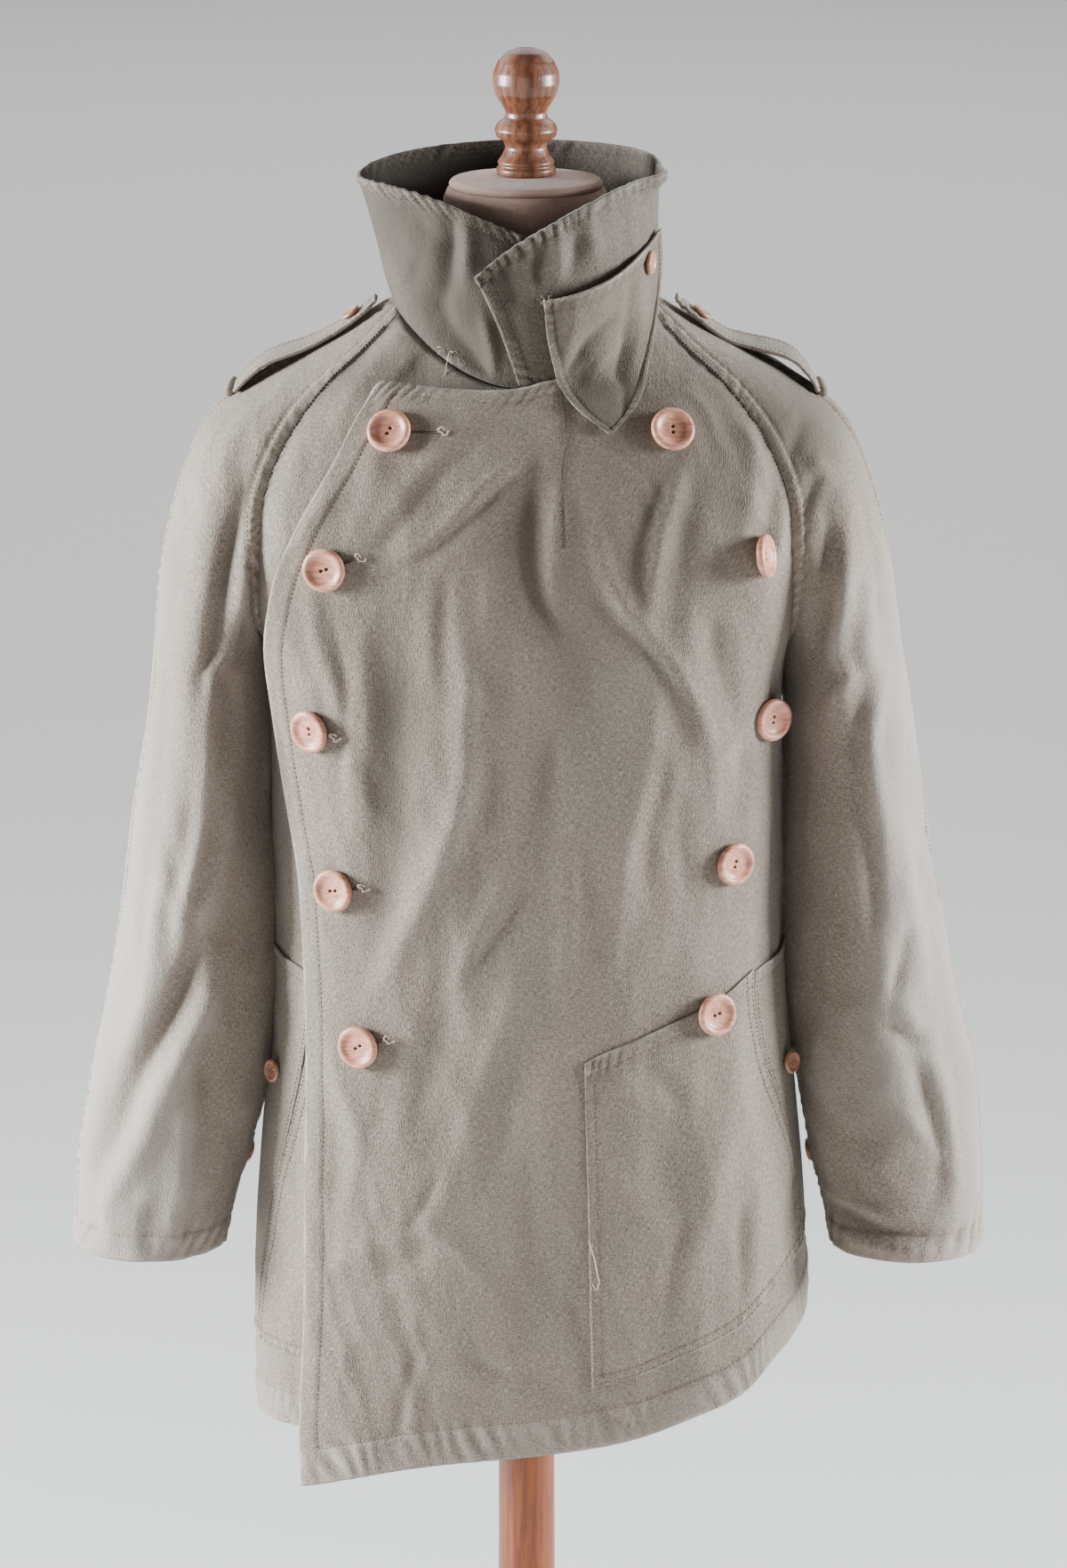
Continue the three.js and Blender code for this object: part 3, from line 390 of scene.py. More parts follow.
def body_point(side, level, hem, behind=False):
    """A point of the body's front or back. side runs from -1 to 1 across it, and level from 0 at the
    hem through 1 at the armpits to 2 at the neck. Each row is an arch: x goes with the sine of side,
    and the depth falls off with a power of x."""
    side, level = np.broadcast_arrays(side, level)
    sine = np.sin(side * np.pi / 2)
    low_z = blend(np.minimum(level, 1), hem(side), ARMPIT_Z)
    share = np.clip(level - 1, 0, 1)
    s = shoulder
    seam = [curve(share) for curve in ((s.bx, s.by, s.bz) if behind else (s.fx, s.fy, s.fz))]
    low = level <= 1
    power = body.square(low_z)
    high_y, high_z = (s.ny, s.nz) if behind else (s.cy, s.cz)
    mid_y = np.where(low, body.back(low_z) if behind else -body.front(low_z), high_y(share))
    mid_z = np.where(low, low_z, high_z(share))
    seam_x = np.where(low, body.half_width(low_z), seam[0])
    seam_y, seam_z = np.where(low, 0, seam[1]), np.where(low, low_z, seam[2])
    reach = np.minimum(np.abs(sine), 1) ** np.where(low, power, s.square(share))
    depth = (1 - reach) ** (1 / np.where(low, power, s.round(share)))
    x = seam_x * sine + np.where(low, DRIFT * (ARMPIT_Z - low_z) / (ARMPIT_Z - 660), 0)
    return np.stack([x, blend(depth, seam_y, mid_y), blend(reach, mid_z, seam_z)], -1)


def unit(vectors):
    """Vectors of length one that point the same way."""
    return vectors / np.maximum(np.linalg.norm(vectors, axis=-1, keepdims=True), 1e-9)


def outward(surface, a, b, turned=1):
    """The direction out of a surface, from two short steps along it."""
    step = 1e-3
    across = surface(a + step, b) - surface(a - step, b)
    up = surface(a, b + step) - surface(a, b - step)
    return turned * unit(np.cross(across, up))


def left_front(side, level):
    """The left front's place: the body's front, moved out by the lap, which fades towards the side
    seam, and by the lift at the free edge."""
    side, level = np.broadcast_arrays(side, level)
    plain = lambda s, l: body_point(np.clip(s, -1, 1), np.clip(l, 0, 2), left_hem)
    off = LAP * (1 - smooth(side, 0.45, 0.97))
    lift = lapel.lift(level) * (1 - smooth(side - lapel.side(level), 0, 0.5)) ** 2
    out = outward(plain, np.minimum(side, 0.999), np.clip(level, 0.002, 1.998))
    return plain(side, level) + out * (off + lift)[..., None]


def left_front_cut(across, level):
    """across runs from 0 at the free edge to 1 at the seams. The straight top edge falls a little
    from the collar's end to the corner."""
    side = blend(across, lapel.side(level), 1)
    drop = 0.095 * np.clip((0.08 - side) / 0.65, 0, 1)
    return left_front(side, np.where(level > 1, 1 + (level - 1) * (1 - drop), level))


def closer_at_ends(count, pull=0.6):
    """Places from 0 to 1 that crowd towards both ends, where the hems and seams are."""
    t = np.linspace(0, 1, count)
    return t - pull * np.sin(2 * np.pi * t) / (2 * np.pi)


def up_levels(count, armpit=0.7):
    """Levels from the hem (0) to the neck (2), with the given share of the rows below the armpits."""
    t = closer_at_ends(count, 0.35)
    return np.where(t < armpit, t / armpit, 1 + (t - armpit) / (1 - armpit))


def waves(points, length, seed, count=10):
    """Uneven waves of about the given length: sines in drawn directions, added up to about one."""
    draw = np.random.default_rng(seed)
    directions = unit(draw.normal(size=(count, 3)))
    lengths = length * draw.uniform(0.7, 1.5, count)
    phases = draw.uniform(0, 2 * np.pi, count)
    angles = points @ (directions / lengths[:, None]).T * 2 * np.pi + phases
    return np.sin(angles).sum(-1) / np.sqrt(count / 2)


class Panel:
    """A cut piece of cloth as a grid of points in millimetres on the middle of its wall, with the
    direction out of it, the distance over it from its four sides, and its wear and painted light,
    from -1 where it is soiled or painted in shade to 1 where it is rubbed pale or painted in light."""

    def __init__(self, surface, across, up):
        self.across, self.up = across, up
        self.points = surface(across[None, :], up[:, None])
        self.measure()
        steps = [np.linalg.norm(np.diff(self.points, axis=axis), axis=-1) for axis in (1, 0)]
        self.left = np.pad(np.cumsum(steps[0], axis=1), ((0, 0), (1, 0)))
        self.foot = np.pad(np.cumsum(steps[1], axis=0), ((1, 0), (0, 0)))
        self.right, self.top = self.left[:, -1:] - self.left, self.foot[-1:] - self.foot
        self.wear_and_painted_light = np.zeros(self.left.shape)
        self.extra = np.zeros(self.left.shape)
        self.flat = self.points.copy()

    def measure(self):
        """Finds the direction out of the cloth, at right angles to its rows and its columns."""
        across, up = np.gradient(self.points, axis=1), np.gradient(self.points, axis=0)
        self.out = unit(np.cross(across, up))

    def lift(self, height):
        """Moves the cloth out by a height at each point."""
        self.points = self.points + self.out * height[..., None]
        self.measure()

    def ease(self, level, passes=80, **held):
        """Rounds the bend in the cloth across one of its rows, but not within some millimetres of
        the sides that are sewn there."""
        row = np.argmin(np.abs(self.up - level))
        share = np.exp(-(((self.foot - self.foot[row]) / 55) ** 2))
        for name, reach in held.items():
            share *= smooth(getattr(self, name), 0, reach)
        for _ in range(passes):
            middle = (self.points[:-2] + self.points[2:]) / 2
            self.points[1:-1] += 0.5 * share[1:-1, :, None] * (middle - self.points[1:-1])
        self.flat = self.points.copy()
        self.measure()

    def edge(self, name, wide, rise=0.5, pucker=0.35, pitch=11, seed=0, rub=0.8, band=0):
        """Finishes one side: the turned cloth stands up by rise for its width and dips along the line
        of stitching, which draws up small puckers across the edge. Its fold is rubbed pale, or painted
        darker where rub is below zero, which is painted shade under a lapped edge. The puckers are painted
        paler on their backs and darker in their hollows, painted light and shade, and the stitch line is
        painted darker, painted shade in its groove. band is the wear of the whole turned width."""
        off = getattr(self, name)
        run = self.left if name in ("foot", "top") else self.foot
        raised = rise * (1 - smooth(off, wide - 1.5, wide + 2))
        dip = -1.1 * rise * np.exp(-(((off - wide) / 1.6) ** 2))
        place = np.stack([run, 0.3 * off, 0 * off], -1)
        drawn = np.sin(2 * np.pi * (run + 0.35 * off) / pitch + 2.2 * waves(place, 4 * pitch, 50 + seed))
        near = np.exp(-(((off - 0.6 * wide) / (0.5 * wide + 2)) ** 2))
        near *= np.clip(0.6 + 0.45 * waves(place, 60, 60 + seed), 0, 1.4)
        self.lift(raised + dip + pucker * near * drawn)
        fold = np.exp(-((off / 1.8) ** 2))
        # The fold is rubbed pale; where rub is below zero it is painted darker instead, painted shade.
        self.wear_and_painted_light += rub * fold * (0.65 + 0.35 * waves(self.flat, 25, 90 + seed))
        # Painted light and shade on the puckers, and painted shade along the stitch line's groove.
        self.wear_and_painted_light += 0.8 * pucker * near * drawn - 0.3 * np.exp(-(((off - wide) / 1.2) ** 2))
        self.wear_and_painted_light += band * (1 - smooth(off, wide - 1, wide + 2))
        self.extra = np.maximum(self.extra, 1 - smooth(off, wide - 2, wide + 1))

    def at(self, across, up):
        """Points and directions at places given as the grid's own two measures."""
        i = np.interp(across, self.across, np.arange(len(self.across)))
        j = np.interp(up, self.up, np.arange(len(self.up)))
        i0 = np.minimum(i.astype(int), len(self.across) - 2)
        j0 = np.minimum(j.astype(int), len(self.up) - 2)
        a, b = (i - i0)[..., None], (j - j0)[..., None]
        row = lambda grid, j: blend(a, grid[j, i0], grid[j, i0 + 1])
        pick = lambda grid: blend(b, row(grid, j0), row(grid, j0 + 1))
        return pick(self.points), unit(pick(self.out))

    def beside(self, name, off, start=0.0, end=1.0):
        """A line at a distance from one side, between two shares of that side's length."""
        field = getattr(self, name)
        steep = name in ("foot", "top")
        field = field.T if steep else field
        if name in ("right", "top"):
            field = -field
            off = -off
        first = np.argmax(field >= off, axis=1).clip(1)
        rows = np.arange(len(field))
        low, high = field[rows, first - 1], field[rows, first]
        place = first - 1 + np.clip((off - low) / np.maximum(high - low, 1e-6), 0, 1)
        keep = slice(int(start * (len(rows) - 1)), int(end * (len(rows) - 1)) + 1)
        rows, place = rows[keep], place[keep]
        along, other = (self.across, self.up) if steep else (self.up, self.across)
        place = np.interp(place, np.arange(len(other)), other)
        return self.at(along[rows], place) if steep else self.at(place, along[rows])

    def cloth(self, node, finish, wall=CANVAS_WALL, hem=1.0, inside=None, **sheet):
        """Makes the panel: a grid with the cut's own sizes as its UV map in metres, thickened to a
        wall that is up to hem thicker where it is turned. inside is the finish of its wrong side."""
        piece = put_mesh(node + "_cloth", self.points, grid_faces(*self.left.shape), finish)
        middle = self.left[:, self.left.shape[1] // 2][:, None]
        cut = np.stack([self.left - middle, self.foot], -1).reshape(-1, 2) * MM
        corners = np.empty(len(piece.data.loops), np.int32)
        piece.data.loops.foreach_get("vertex_index", corners)
        piece.data.uv_layers.new(name="cut").data.foreach_set("uv", cut[corners].ravel())
        wear_and_painted_light = piece.data.attributes.new("wear_and_painted_light", "FLOAT", "POINT")
        wear_and_painted_light.data.foreach_set("value", np.clip(self.wear_and_painted_light, -1, 1).ravel())
        thick = piece.vertex_groups.new(name="thick")
        share = (wall + hem * self.extra) / (wall + hem)
        levels = np.round(share.ravel() * 20).astype(int)
        for level in np.unique(levels):
            thick.add(np.flatnonzero(levels == level).tolist(), level / 20, "REPLACE")
        solid = piece.modifiers.new("wall", "SOLIDIFY")
        solid.thickness, solid.offset = (wall + hem) * MM, 0
        solid.vertex_group = "thick"
        if inside:
            piece.data.materials.append(inside)
            solid.material_offset = 1
        fit(piece, "canvas", node)
        return piece


def creases(panel, table, facing, strength=1.0):
    """Heights of the creases laid over a panel as seen from the front or the back. Each row
    gives the x and z of some points along a bent line, then its half width and its height, below
    zero for a trough. A crease narrows and dies out towards its ends, and fades where the cloth
    turns away."""
    wander = np.stack([waves(panel.flat, 110, 3), waves(panel.flat, 110, 4)], -1)
    place = (panel.flat[..., [0, 2]] + 1.8 * wander).reshape(-1, 2)
    total = np.zeros(len(place))
    for *points, wide, high in table:
        knots = np.reshape(points, (-1, 2))
        steps = np.linspace(0, len(knots) - 1, 6 * len(knots))
        line = np.stack([np.interp(steps, np.arange(len(knots)), column) for column in knots.T], -1)
        for _ in range(8):
            line[1:-1] = (line[:-2] + 2 * line[1:-1] + line[2:]) / 4
        line[0] += 5 * (line[0] - line[1])
        line[-1] += 5 * (line[-1] - line[-2])
        reach = 3.6 * wide
        near = np.flatnonzero(((place > line.min(0) - reach) & (place < line.max(0) + reach)).all(-1))
        run = np.diff(line, axis=0)
        away = place[near, None] - line[:-1]
        share = np.clip((away * run).sum(-1) / (run**2).sum(-1), 0, 1)
        gap = np.linalg.norm(away - share[..., None] * run, axis=-1)
        nearest = np.argmin(gap, axis=1)
        pick = np.arange(len(near)), nearest
        length = np.concatenate([[0], np.cumsum(np.linalg.norm(run, axis=1))])
        along = (length[nearest] + share[pick] * np.diff(length)[nearest]) / length[-1]
        fade = smooth(along, 0, 0.35) * (1 - smooth(along, 0.6, 1))
        breadth = 1.2 * wide * (0.7 + 0.3 * np.sin(np.pi * along))
        total[near] += high * fade * np.exp(-((gap[pick] / breadth) ** 1.8))
    seen = np.clip(panel.out[..., 1] * facing, 0, 1) ** 0.5
    return strength * total.reshape(panel.left.shape) * seen


def crumple(panel, seed, soft=1.0, fine=1.0):
    """Heights of the small unplanned creases, drawn out down the cloth: long soft waves, and finer
    sharp-backed ones that come and go."""
    place = panel.flat * [1, 1, 0.55]
    ridge = 1 - np.abs(waves(place, 70, seed))
    small = 1 - np.abs(waves(place, 30, seed + 1))
    where = smooth(waves(place, 110, seed + 3), -0.6, 1.2)
    return soft * (1.1 * waves(place, 120, seed + 2) + 0.8 * ridge) + fine * 0.75 * small * where


def settle(panel, heights, fade, wear=0.06):
    """Lays creases on a panel, fading them out within some millimetres of its sewn sides. Their backs
    are painted paler and their hollows darker, in step with their height: painted light on the ridges
    and painted shade in the hollows, as well as rubbing and soil."""
    hold = np.ones(panel.left.shape)
    for name, reach in fade.items():
        hold *= smooth(getattr(panel, name), 0, reach)
    heights = heights * hold
    panel.lift(heights)
    # Painted light on the ridges and painted shade in the hollows, with some rubbing and soil.
    panel.wear_and_painted_light += wear * heights


def canvas_finish(name, shade=1.0):
    """Khaki cotton canvas, washed and worn: two crossing sets of uneven threads, pale slubs along
    them, broad clouds that lean greenish or pinkish brown, and a field that pales it where it is
    rubbed or painted in light and darkens it where it is soiled or painted in shade."""
    f = Finish(name, Roughness=0.9, Sheen_Weight=0.12, Sheen_Roughness=0.5, Specular_IOR_Level=0.2)
    place, cut = f.place(), f.place("UV")
    warp = f.noise(cut, 0.0008, (1, 4, 1), detail=1)
    weft = f.noise(cut, 0.0008, (4, 1, 1), detail=1)
    slubs = f.step(f.noise(cut, 0.0011, (1, 5, 1), detail=0), 0.69, 0.77) + f.step(
        f.noise(cut, 0.001, (5, 1, 1), detail=0), 0.7, 0.78
    )
    broad = f.noise(place, 0.13, (1, 1, 1.5), detail=3)
    patch = f.noise(place, 0.035, (1, 1, 1.7), detail=4)
    nap = f.noise(place, 0.006, detail=2)
    wear_and_painted_light = f.field("wear_and_painted_light")
    toned = lambda *colour: tuple(shade * part for part in colour)
    colour = f.mix(f.step(broad, 0.36, 0.64), toned(0.272, 0.229, 0.182), toned(0.292, 0.227, 0.19))
    colour = f.mix(f.step(patch, 0.3, 0.7) * 0.6, colour, toned(0.215, 0.178, 0.14))
    colour = f.mix(f.step(nap, 0.35, 0.7) * 0.12, colour, toned(0.19, 0.155, 0.118))
    for threads in (warp, weft):
        colour = f.mix(f.step(threads, 0.5, 0.34) * 0.42, colour, toned(0.11, 0.088, 0.066))
        colour = f.mix(f.step(threads, 0.52, 0.68) * 0.28, colour, toned(0.47, 0.415, 0.35))
    colour = f.mix(slubs * 0.25, colour, toned(0.56, 0.5, 0.43))
    # Paler where the cloth is rubbed or painted in light, darker where it is soiled or painted in shade.
    colour = f.mix(f.step(wear_and_painted_light, 0, 1) * 0.6, colour, toned(0.48, 0.42, 0.372))
    colour = f.mix(f.step(wear_and_painted_light * -1, 0, 1) * 0.8, colour, toned(0.11, 0.089, 0.068))
    rumple = f.noise(place, 0.028, (1, 1, 2), detail=2)
    normal = f.bump(rumple, 0.0025, f.bump(warp + weft, 0.0005))
    return f.wear(Base_Color=colour, Normal=normal)


canvas = canvas_finish("canvas")


def thread_finish(name, pale, dark):
    """Cotton sewing thread, a little darker and paler along its length."""
    f = Finish(name, Roughness=0.8, Sheen_Weight=0.1)
    return f.wear(Base_Color=f.mix(f.noise(f.place(), 0.006, detail=3), dark, pale))


khaki_thread = thread_finish("khaki_thread", (0.24, 0.15, 0.105), (0.12, 0.075, 0.052))
# Near black stitches along seam lines: painted shadow in the seams.
seam_shadow = thread_finish("seam_shadow", (0.05, 0.038, 0.03), (0.03, 0.022, 0.018))
pale_thread = thread_finish("pale_thread", (0.72, 0.56, 0.47), (0.5, 0.36, 0.29))


def spindles(name, finish, start, end, out, thick, sag=0.25):
    """Many short stitches as one piece. Each is a spindle of four rings of four points from its start
    to its end, sunk into the cloth at both ends by sag and standing up in the middle."""
    along = unit(end - start)
    side = unit(np.cross(out, along))
    place = np.array([0, 0.28, 0.72, 1.0])
    size = np.array([0.25, 1, 1, 0.25]) * thick / 2
    rise = np.array([-sag, 0.6 * thick, 0.6 * thick, -sag])
    angle = np.arange(4) * np.pi / 2 + np.pi / 4
    spine = start[:, None] + (end - start)[:, None] * place[:, None] + out[:, None] * rise[:, None]
    ring = side[:, None] * np.cos(angle)[:, None] + out[:, None] * np.sin(angle)[:, None]
    points = spine[:, :, None] + ring[:, None] * size[:, None, None]
    one = grid_faces(4, 4, True)[:, ::-1]
    ends = np.array([[0, 1, 2, 3], [15, 14, 13, 12]])
    faces = np.concatenate([one, ends])
    faces = (np.arange(len(start))[:, None, None] * 16 + faces).reshape(-1, 4)
    return put_mesh(name, points, faces, finish)


def stitch_line(line, pitch, length, lift):
    """Starts and ends of the stitches along a line of points and directions."""
    points, out = line
    run = np.concatenate([[0], np.cumsum(np.linalg.norm(np.diff(points, axis=0), axis=1))])
    first = np.arange(pitch / 2, run[-1] - length, pitch)
    at = lambda s: np.stack([np.interp(s, run, points[:, i]) for i in range(3)], -1)
    up = unit(np.stack([np.interp(first, run, out[:, i]) for i in range(3)], -1))
    return at(first) + up * lift, at(first + length) + up * lift, up


def sew(name, *lines, finish=khaki_thread, pitch=3.3, length=2.5, thick=0.55, wall=CANVAS_WALL):
    """All the lines of stitching on one piece, laid on the outside of its wall."""
    parts = [stitch_line(line, pitch, length, wall / 2 - 0.05) for line in lines]
    start, end, out = (np.concatenate([p[i] for p in parts]) for i in range(3))
    return fit(spindles(name, finish, start, end, out, thick), "canvas")


# Creases on the fronts: x and z of points along each, then its half width and its height.
FRONT_CREASES = [
    (-88, 1275, -91, 1230, -88, 1180, -84, 1140, -92, 1090, -104, 1045, -117, 1005, 17, -5.5),
    (-42, 1275, -40, 1232, -46, 1199, -38, 1170, -44, 1137, -57, 1108, -69, 1074, -86, 1045, -104, 1000,
     9, 4.5),
    (-107, 1240, -106, 1190, -106, 1140, -106, 1105, 6, 2.2),
    (-140, 1290, -135, 1255, -127, 1225, -120, 1190, 7, 2.5),
    (-121, 1250, -119, 1215, -121, 1180, -124, 1150, 4, -1.8),
    (-116, 1170, -114, 1135, -112, 1110, 6, 2),
    (-8, 1115, -14, 1090, -26, 1060, -44, 1030, -55, 1000, 8, 2.4),
    (0, 1078, -10, 1062, -24, 1045, -38, 1022, 5, -1.8),
    (2, 1052, -6, 1025, -12, 990, -25, 960, -38, 930, -50, 890, -63, 855, -70, 835, 9, 1.8),
    (-50, 1040, -58, 1000, -62, 960, -75, 925, 10, -2.2),
    (-4, 960, -12, 920, -24, 880, 9, -1.5),
    (24, 1215, 16, 1170, 12, 1125, 14, 1080, 9, -1.6),
    (-4, 1240, -3, 1190, -8, 1130, 7, 1.3),
    (40, 1110, 42, 1070, 48, 1030, 8, -1.3),
    (28, 1100, 27, 1060, 22, 1020, 6, 1.2),
    (80, 1180, 74, 1130, 68, 1090, 60, 1050, 58, 1010, 6, 1.5),
    (92, 1190, 88, 1150, 84, 1105, 84, 1060, 6, -1.8),
    (7, 1375, 4, 1345, 2, 1318, 8, 1288, 20, 1260, 10, -5),
    (14, 1290, 26, 1262, 36, 1235, 44, 1205, 11, -2),
    (19, 1350, 17, 1325, 18, 1300, 24, 1275, 4.5, 2.6),
    (39, 1350, 47, 1316, 56, 1291, 77, 1262, 98, 1232, 118, 1205, 125, 1170, 127, 1125, 5.5, 3.2),
    (52, 1282, 66, 1262, 84, 1238, 100, 1205, 106, 1165, 7, -2.4),
    (101, 1368, 93, 1335, 87, 1305, 82, 1275, 80, 1255, 5, 3.2),
    (88, 1350, 78, 1320, 72, 1295, 8, -2.6),
    (108, 1350, 104, 1310, 100, 1280, 98, 1255, 7, -2.4),
    (37, 1382, 64, 1362, 89, 1328, 3, -0.8),
    (58, 1386, 77, 1367, 95, 1346, 3, -0.8),
    (122, 1268, 127, 1245, 135, 1215, 141, 1190, 8, -4.5),
    (146, 1320, 156, 1285, 165, 1245, 158, 1215, 13, 4),
    (147, 1395, 147, 1360, 144, 1325, 8, 3.6),
    (180, 1350, 172, 1325, 160, 1298, 5, 3),
    (170, 1366, 163, 1340, 157, 1318, 6, -2.8),
    (128, 1170, 138, 1176, 148, 1183, 4, 1.6),
    (146, 1168, 145, 1150, 143, 1130, 5, -1.8),
    (157, 1160, 156, 1100, 152, 1050, 148, 1010, 11, 3),
    (104, 1150, 104, 1115, 108, 1075, 6, -1.8),
    (6, 1384, -22, 1362, -50, 1338, -86, 1308, 6, 2),
    (-2, 1368, -30, 1344, -58, 1322, -92, 1300, 5, -2),
    (-40, 1398, -66, 1375, -92, 1345, -110, 1318, 6, 1.5),
    (-30, 1388, -60, 1364, -84, 1338, -104, 1310, 5, -1.4),
    (-98, 1376, -106, 1346, -118, 1318, 7, 1.6),
    (-157, 1312, -143, 1336, -122, 1354, 6, 1.4),
    (-65, 1290, -65, 1255, -64, 1220, 6, 1.5),
    (-56, 1290, -58, 1255, -62, 1215, 6, -1.6),
    (-24, 1300, -22, 1260, -20, 1225, 7, 1.2),
    (-135, 975, -124, 945, -114, 915, -116, 880, -118, 855, 6, 1.8),
    (-92, 955, -94, 935, -100, 915, 7, -1.5),
    (-133, 920, -132, 880, -131, 840, 7, -1.8),
    (-70, 842, -95, 832, -118, 820, -138, 800, 5, 1.2),
    (-66, 842, -50, 832, -36, 815, 5, 1.6),
    (-66, 830, -90, 814, -110, 798, 7, -1.4),
    (-64, 880, -70, 862, -79, 844, 3, -1.3),
    (-78, 745, -84, 722, -88, 700, -90, 682, 4, -1),
    (-72, 742, -78, 715, -82, 690, 4, 0.6),
    (-40, 744, -22, 736, 0, 724, 4, -1.5),
    (-52, 730, -30, 724, 0, 720, 25, 722, 5, 1.3),
    (6, 730, 26, 712, 50, 702, 8, -1.6),
    (52, 706, 60, 694, 66, 682, 4, -2.2),
    (-151, 706, -135, 698, -119, 688, 8, 1),
    (138, 985, 140, 940, 138, 905, 130, 865, 118, 825, 102, 785, 92, 755, 13, 3.6),
    (152, 845, 151, 815, 149, 785, 5, -2.2),
    (164, 850, 161, 815, 158, 780, 6, 1.8),
    (106, 840, 101, 810, 97, 775, 6, -1.8),
    (60, 955, 70, 940, 86, 925, 6, 1.2),
    (80, 957, 92, 943, 108, 928, 6, -1.6),
    (62, 880, 72, 855, 90, 835, 8, 1.2),
    (88, 900, 94, 875, 100, 855, 9, -1.3),
    (0, 900, 3, 860, 4, 820, 8, 770, 10, -1.4),
    (-38, 815, -20, 790, -8, 765, 8, 1.2),
    (175, 905, 180, 850, 174, 790, 7, 2),
]
front = Panel(left_front_cut, closer_at_ends(168, 0.3), up_levels(240))
front.ease(1, right=30)
folds = creases(front, FRONT_CREASES, -1, 1.05)
settle(front, folds + 0.8 * crumple(front, 11, 1, 0.9), {"right": 18, "top": 14, "left": 8, "foot": 16})
# Three broad darker patches on the front: a darker middle of the chest, and painted shade below the
# shoulder seam on the wearer's left and down the long hollow on the wearer's right.
SOIL_AND_SHADE = (10, 1290, 120, 110, 0.4), (130, 1385, 60, 70, 0.7), (-92, 1140, 20, 110, 0.4)
for x, z, wide, tall, soil_and_shade in SOIL_AND_SHADE:
    front.wear_and_painted_light -= soil_and_shade * np.exp(-(((front.flat - [x, -100, z]) / [wide, 200, tall]) ** 2).sum(-1))
front.lift(3.2 * (1 - smooth(front.top, 2, 22)) * (1 - smooth(front.left, 150, 200)))
front.edge("foot", HEM, rise=0.5, pucker=0.7, pitch=12, seed=1, band=0.3)
front.edge("left", 15, rise=0.2, pucker=0.12, seed=2, rub=1.3, band=-0.1)
front.edge("top", 9, rise=0.6, pucker=0.38, pitch=7, seed=3, rub=1.2)
# Its seam side is painted darker: painted shade beside and under the sleeve.
front.edge("right", 3, rise=-0.2, pucker=0.3, seed=4, rub=-0.4)
front.cloth("left_front", canvas, flat=(0.48, 0.83), held="hung", rests_on=["form_torso"], area=0.308)
DART = np.array([(0.151, 1.974), (0.12, 1.84), (0.096, 1.741), (0.092, 1.6), (0.091, 1.48)])


def over_front(places):
    """Points of the left front and directions out of it, at places given as sides and levels."""
    side, level = np.array(places)
    edge = lapel.side(level)
    drop = 0.095 * np.clip((0.08 - side) / 0.65, 0, 1)
    row = np.where(level > 1, 1 + (level - 1) / (1 - drop), level)
    return front.at((side - edge) / (1 - edge), row)


dart = over_front([np.interp(np.linspace(0, 4, 40), range(5), column) for column in DART.T])
# The dart's line is painted shadow, near black stitches along it.
sew("left_front_dart", dart, finish=seam_shadow, pitch=2.6, length=2.8, thick=1.1)
sew(
    "left_front_stitching", front.beside("left", 15, 0.02), front.beside("left", 3.2, 0.02),
    front.beside("foot", HEM - 0.5), front.beside("top", 8.5, 0, 0.55),
)

# ---- Right front -----------------------------------------------------------------------------
# The panel beneath: only its outer strip shows beside the overlap. It reaches past the middle of the
# body and is sewn into the same seams.
right_hem = curves("z", (-1, 668), (-0.8, 677), (0, 692), (0.5, 718)).z


def right_front(side, level):
    """The right front's place: the body's front, down to its own hem."""
    return body_point(side, level, right_hem)


RIGHT_CREASES = [
    (-172, 1010, -176, 930, -168, 820, 12, 2.4),
    (-160, 900, -166, 820, -162, 730, 10, -2.4),
    (-150, 1395, -160, 1350, -163, 1300, 9, 2),
    (-176, 790, -160, 760, -150, 720, 9, 2),
]
under = Panel(right_front, -1 + 1.46 * closer_at_ends(68, 0.3), up_levels(176))
under.ease(1, left=30)
covered = smooth(under.across[None, :] - lapel.side(under.up[:, None]), -0.02, 0.05)
pressed = creases(under, FRONT_CREASES, -1, 1.05) + 0.8 * crumple(under, 11, 1, 0.6) - 1
shown = creases(under, RIGHT_CREASES, -1) + crumple(under, 21)
settle(under, blend(covered, shown, pressed), {"left": 18, "top": 12})
# Painted shadow on the right front above the left front's top edge.
under.wear_and_painted_light -= 0.9 * np.exp(-(((under.flat - [-60, -100, 1425]) / [70, 60, 28]) ** 2).sum(-1))
under.edge("foot", 24, rise=0.5, pucker=0.7, pitch=12, seed=5, band=0.3)
# Its seam side is painted darker: painted shade beside and under the sleeve.
under.edge("left", 3, rise=-0.2, pucker=0.3, seed=6, rub=-0.4)
under.edge("right", 15, rise=0.4, pucker=0.2, seed=7)
under.cloth("right_front", canvas, flat=(0.42, 0.89), held="hung", rests_on=["form_torso"], area=0.272)
sew("right_front_stitching", under.beside("foot", 23.5, 0, 0.5))

# ---- Back ------------------------------------------------------------------------------------
# One panel, sewn to both fronts under the arms and to the sleeves over the shoulder blades, with a
# hem turned up and stitched. It hangs straighter than the fronts, with long soft folds.
back_hem = curves("z", (-1, 668), (0, 695), (1, 766)).z


def back_cut(across, level):
    """across runs from the wearer's left side to the right one."""
    return body_point(-across, level, back_hem, behind=True)


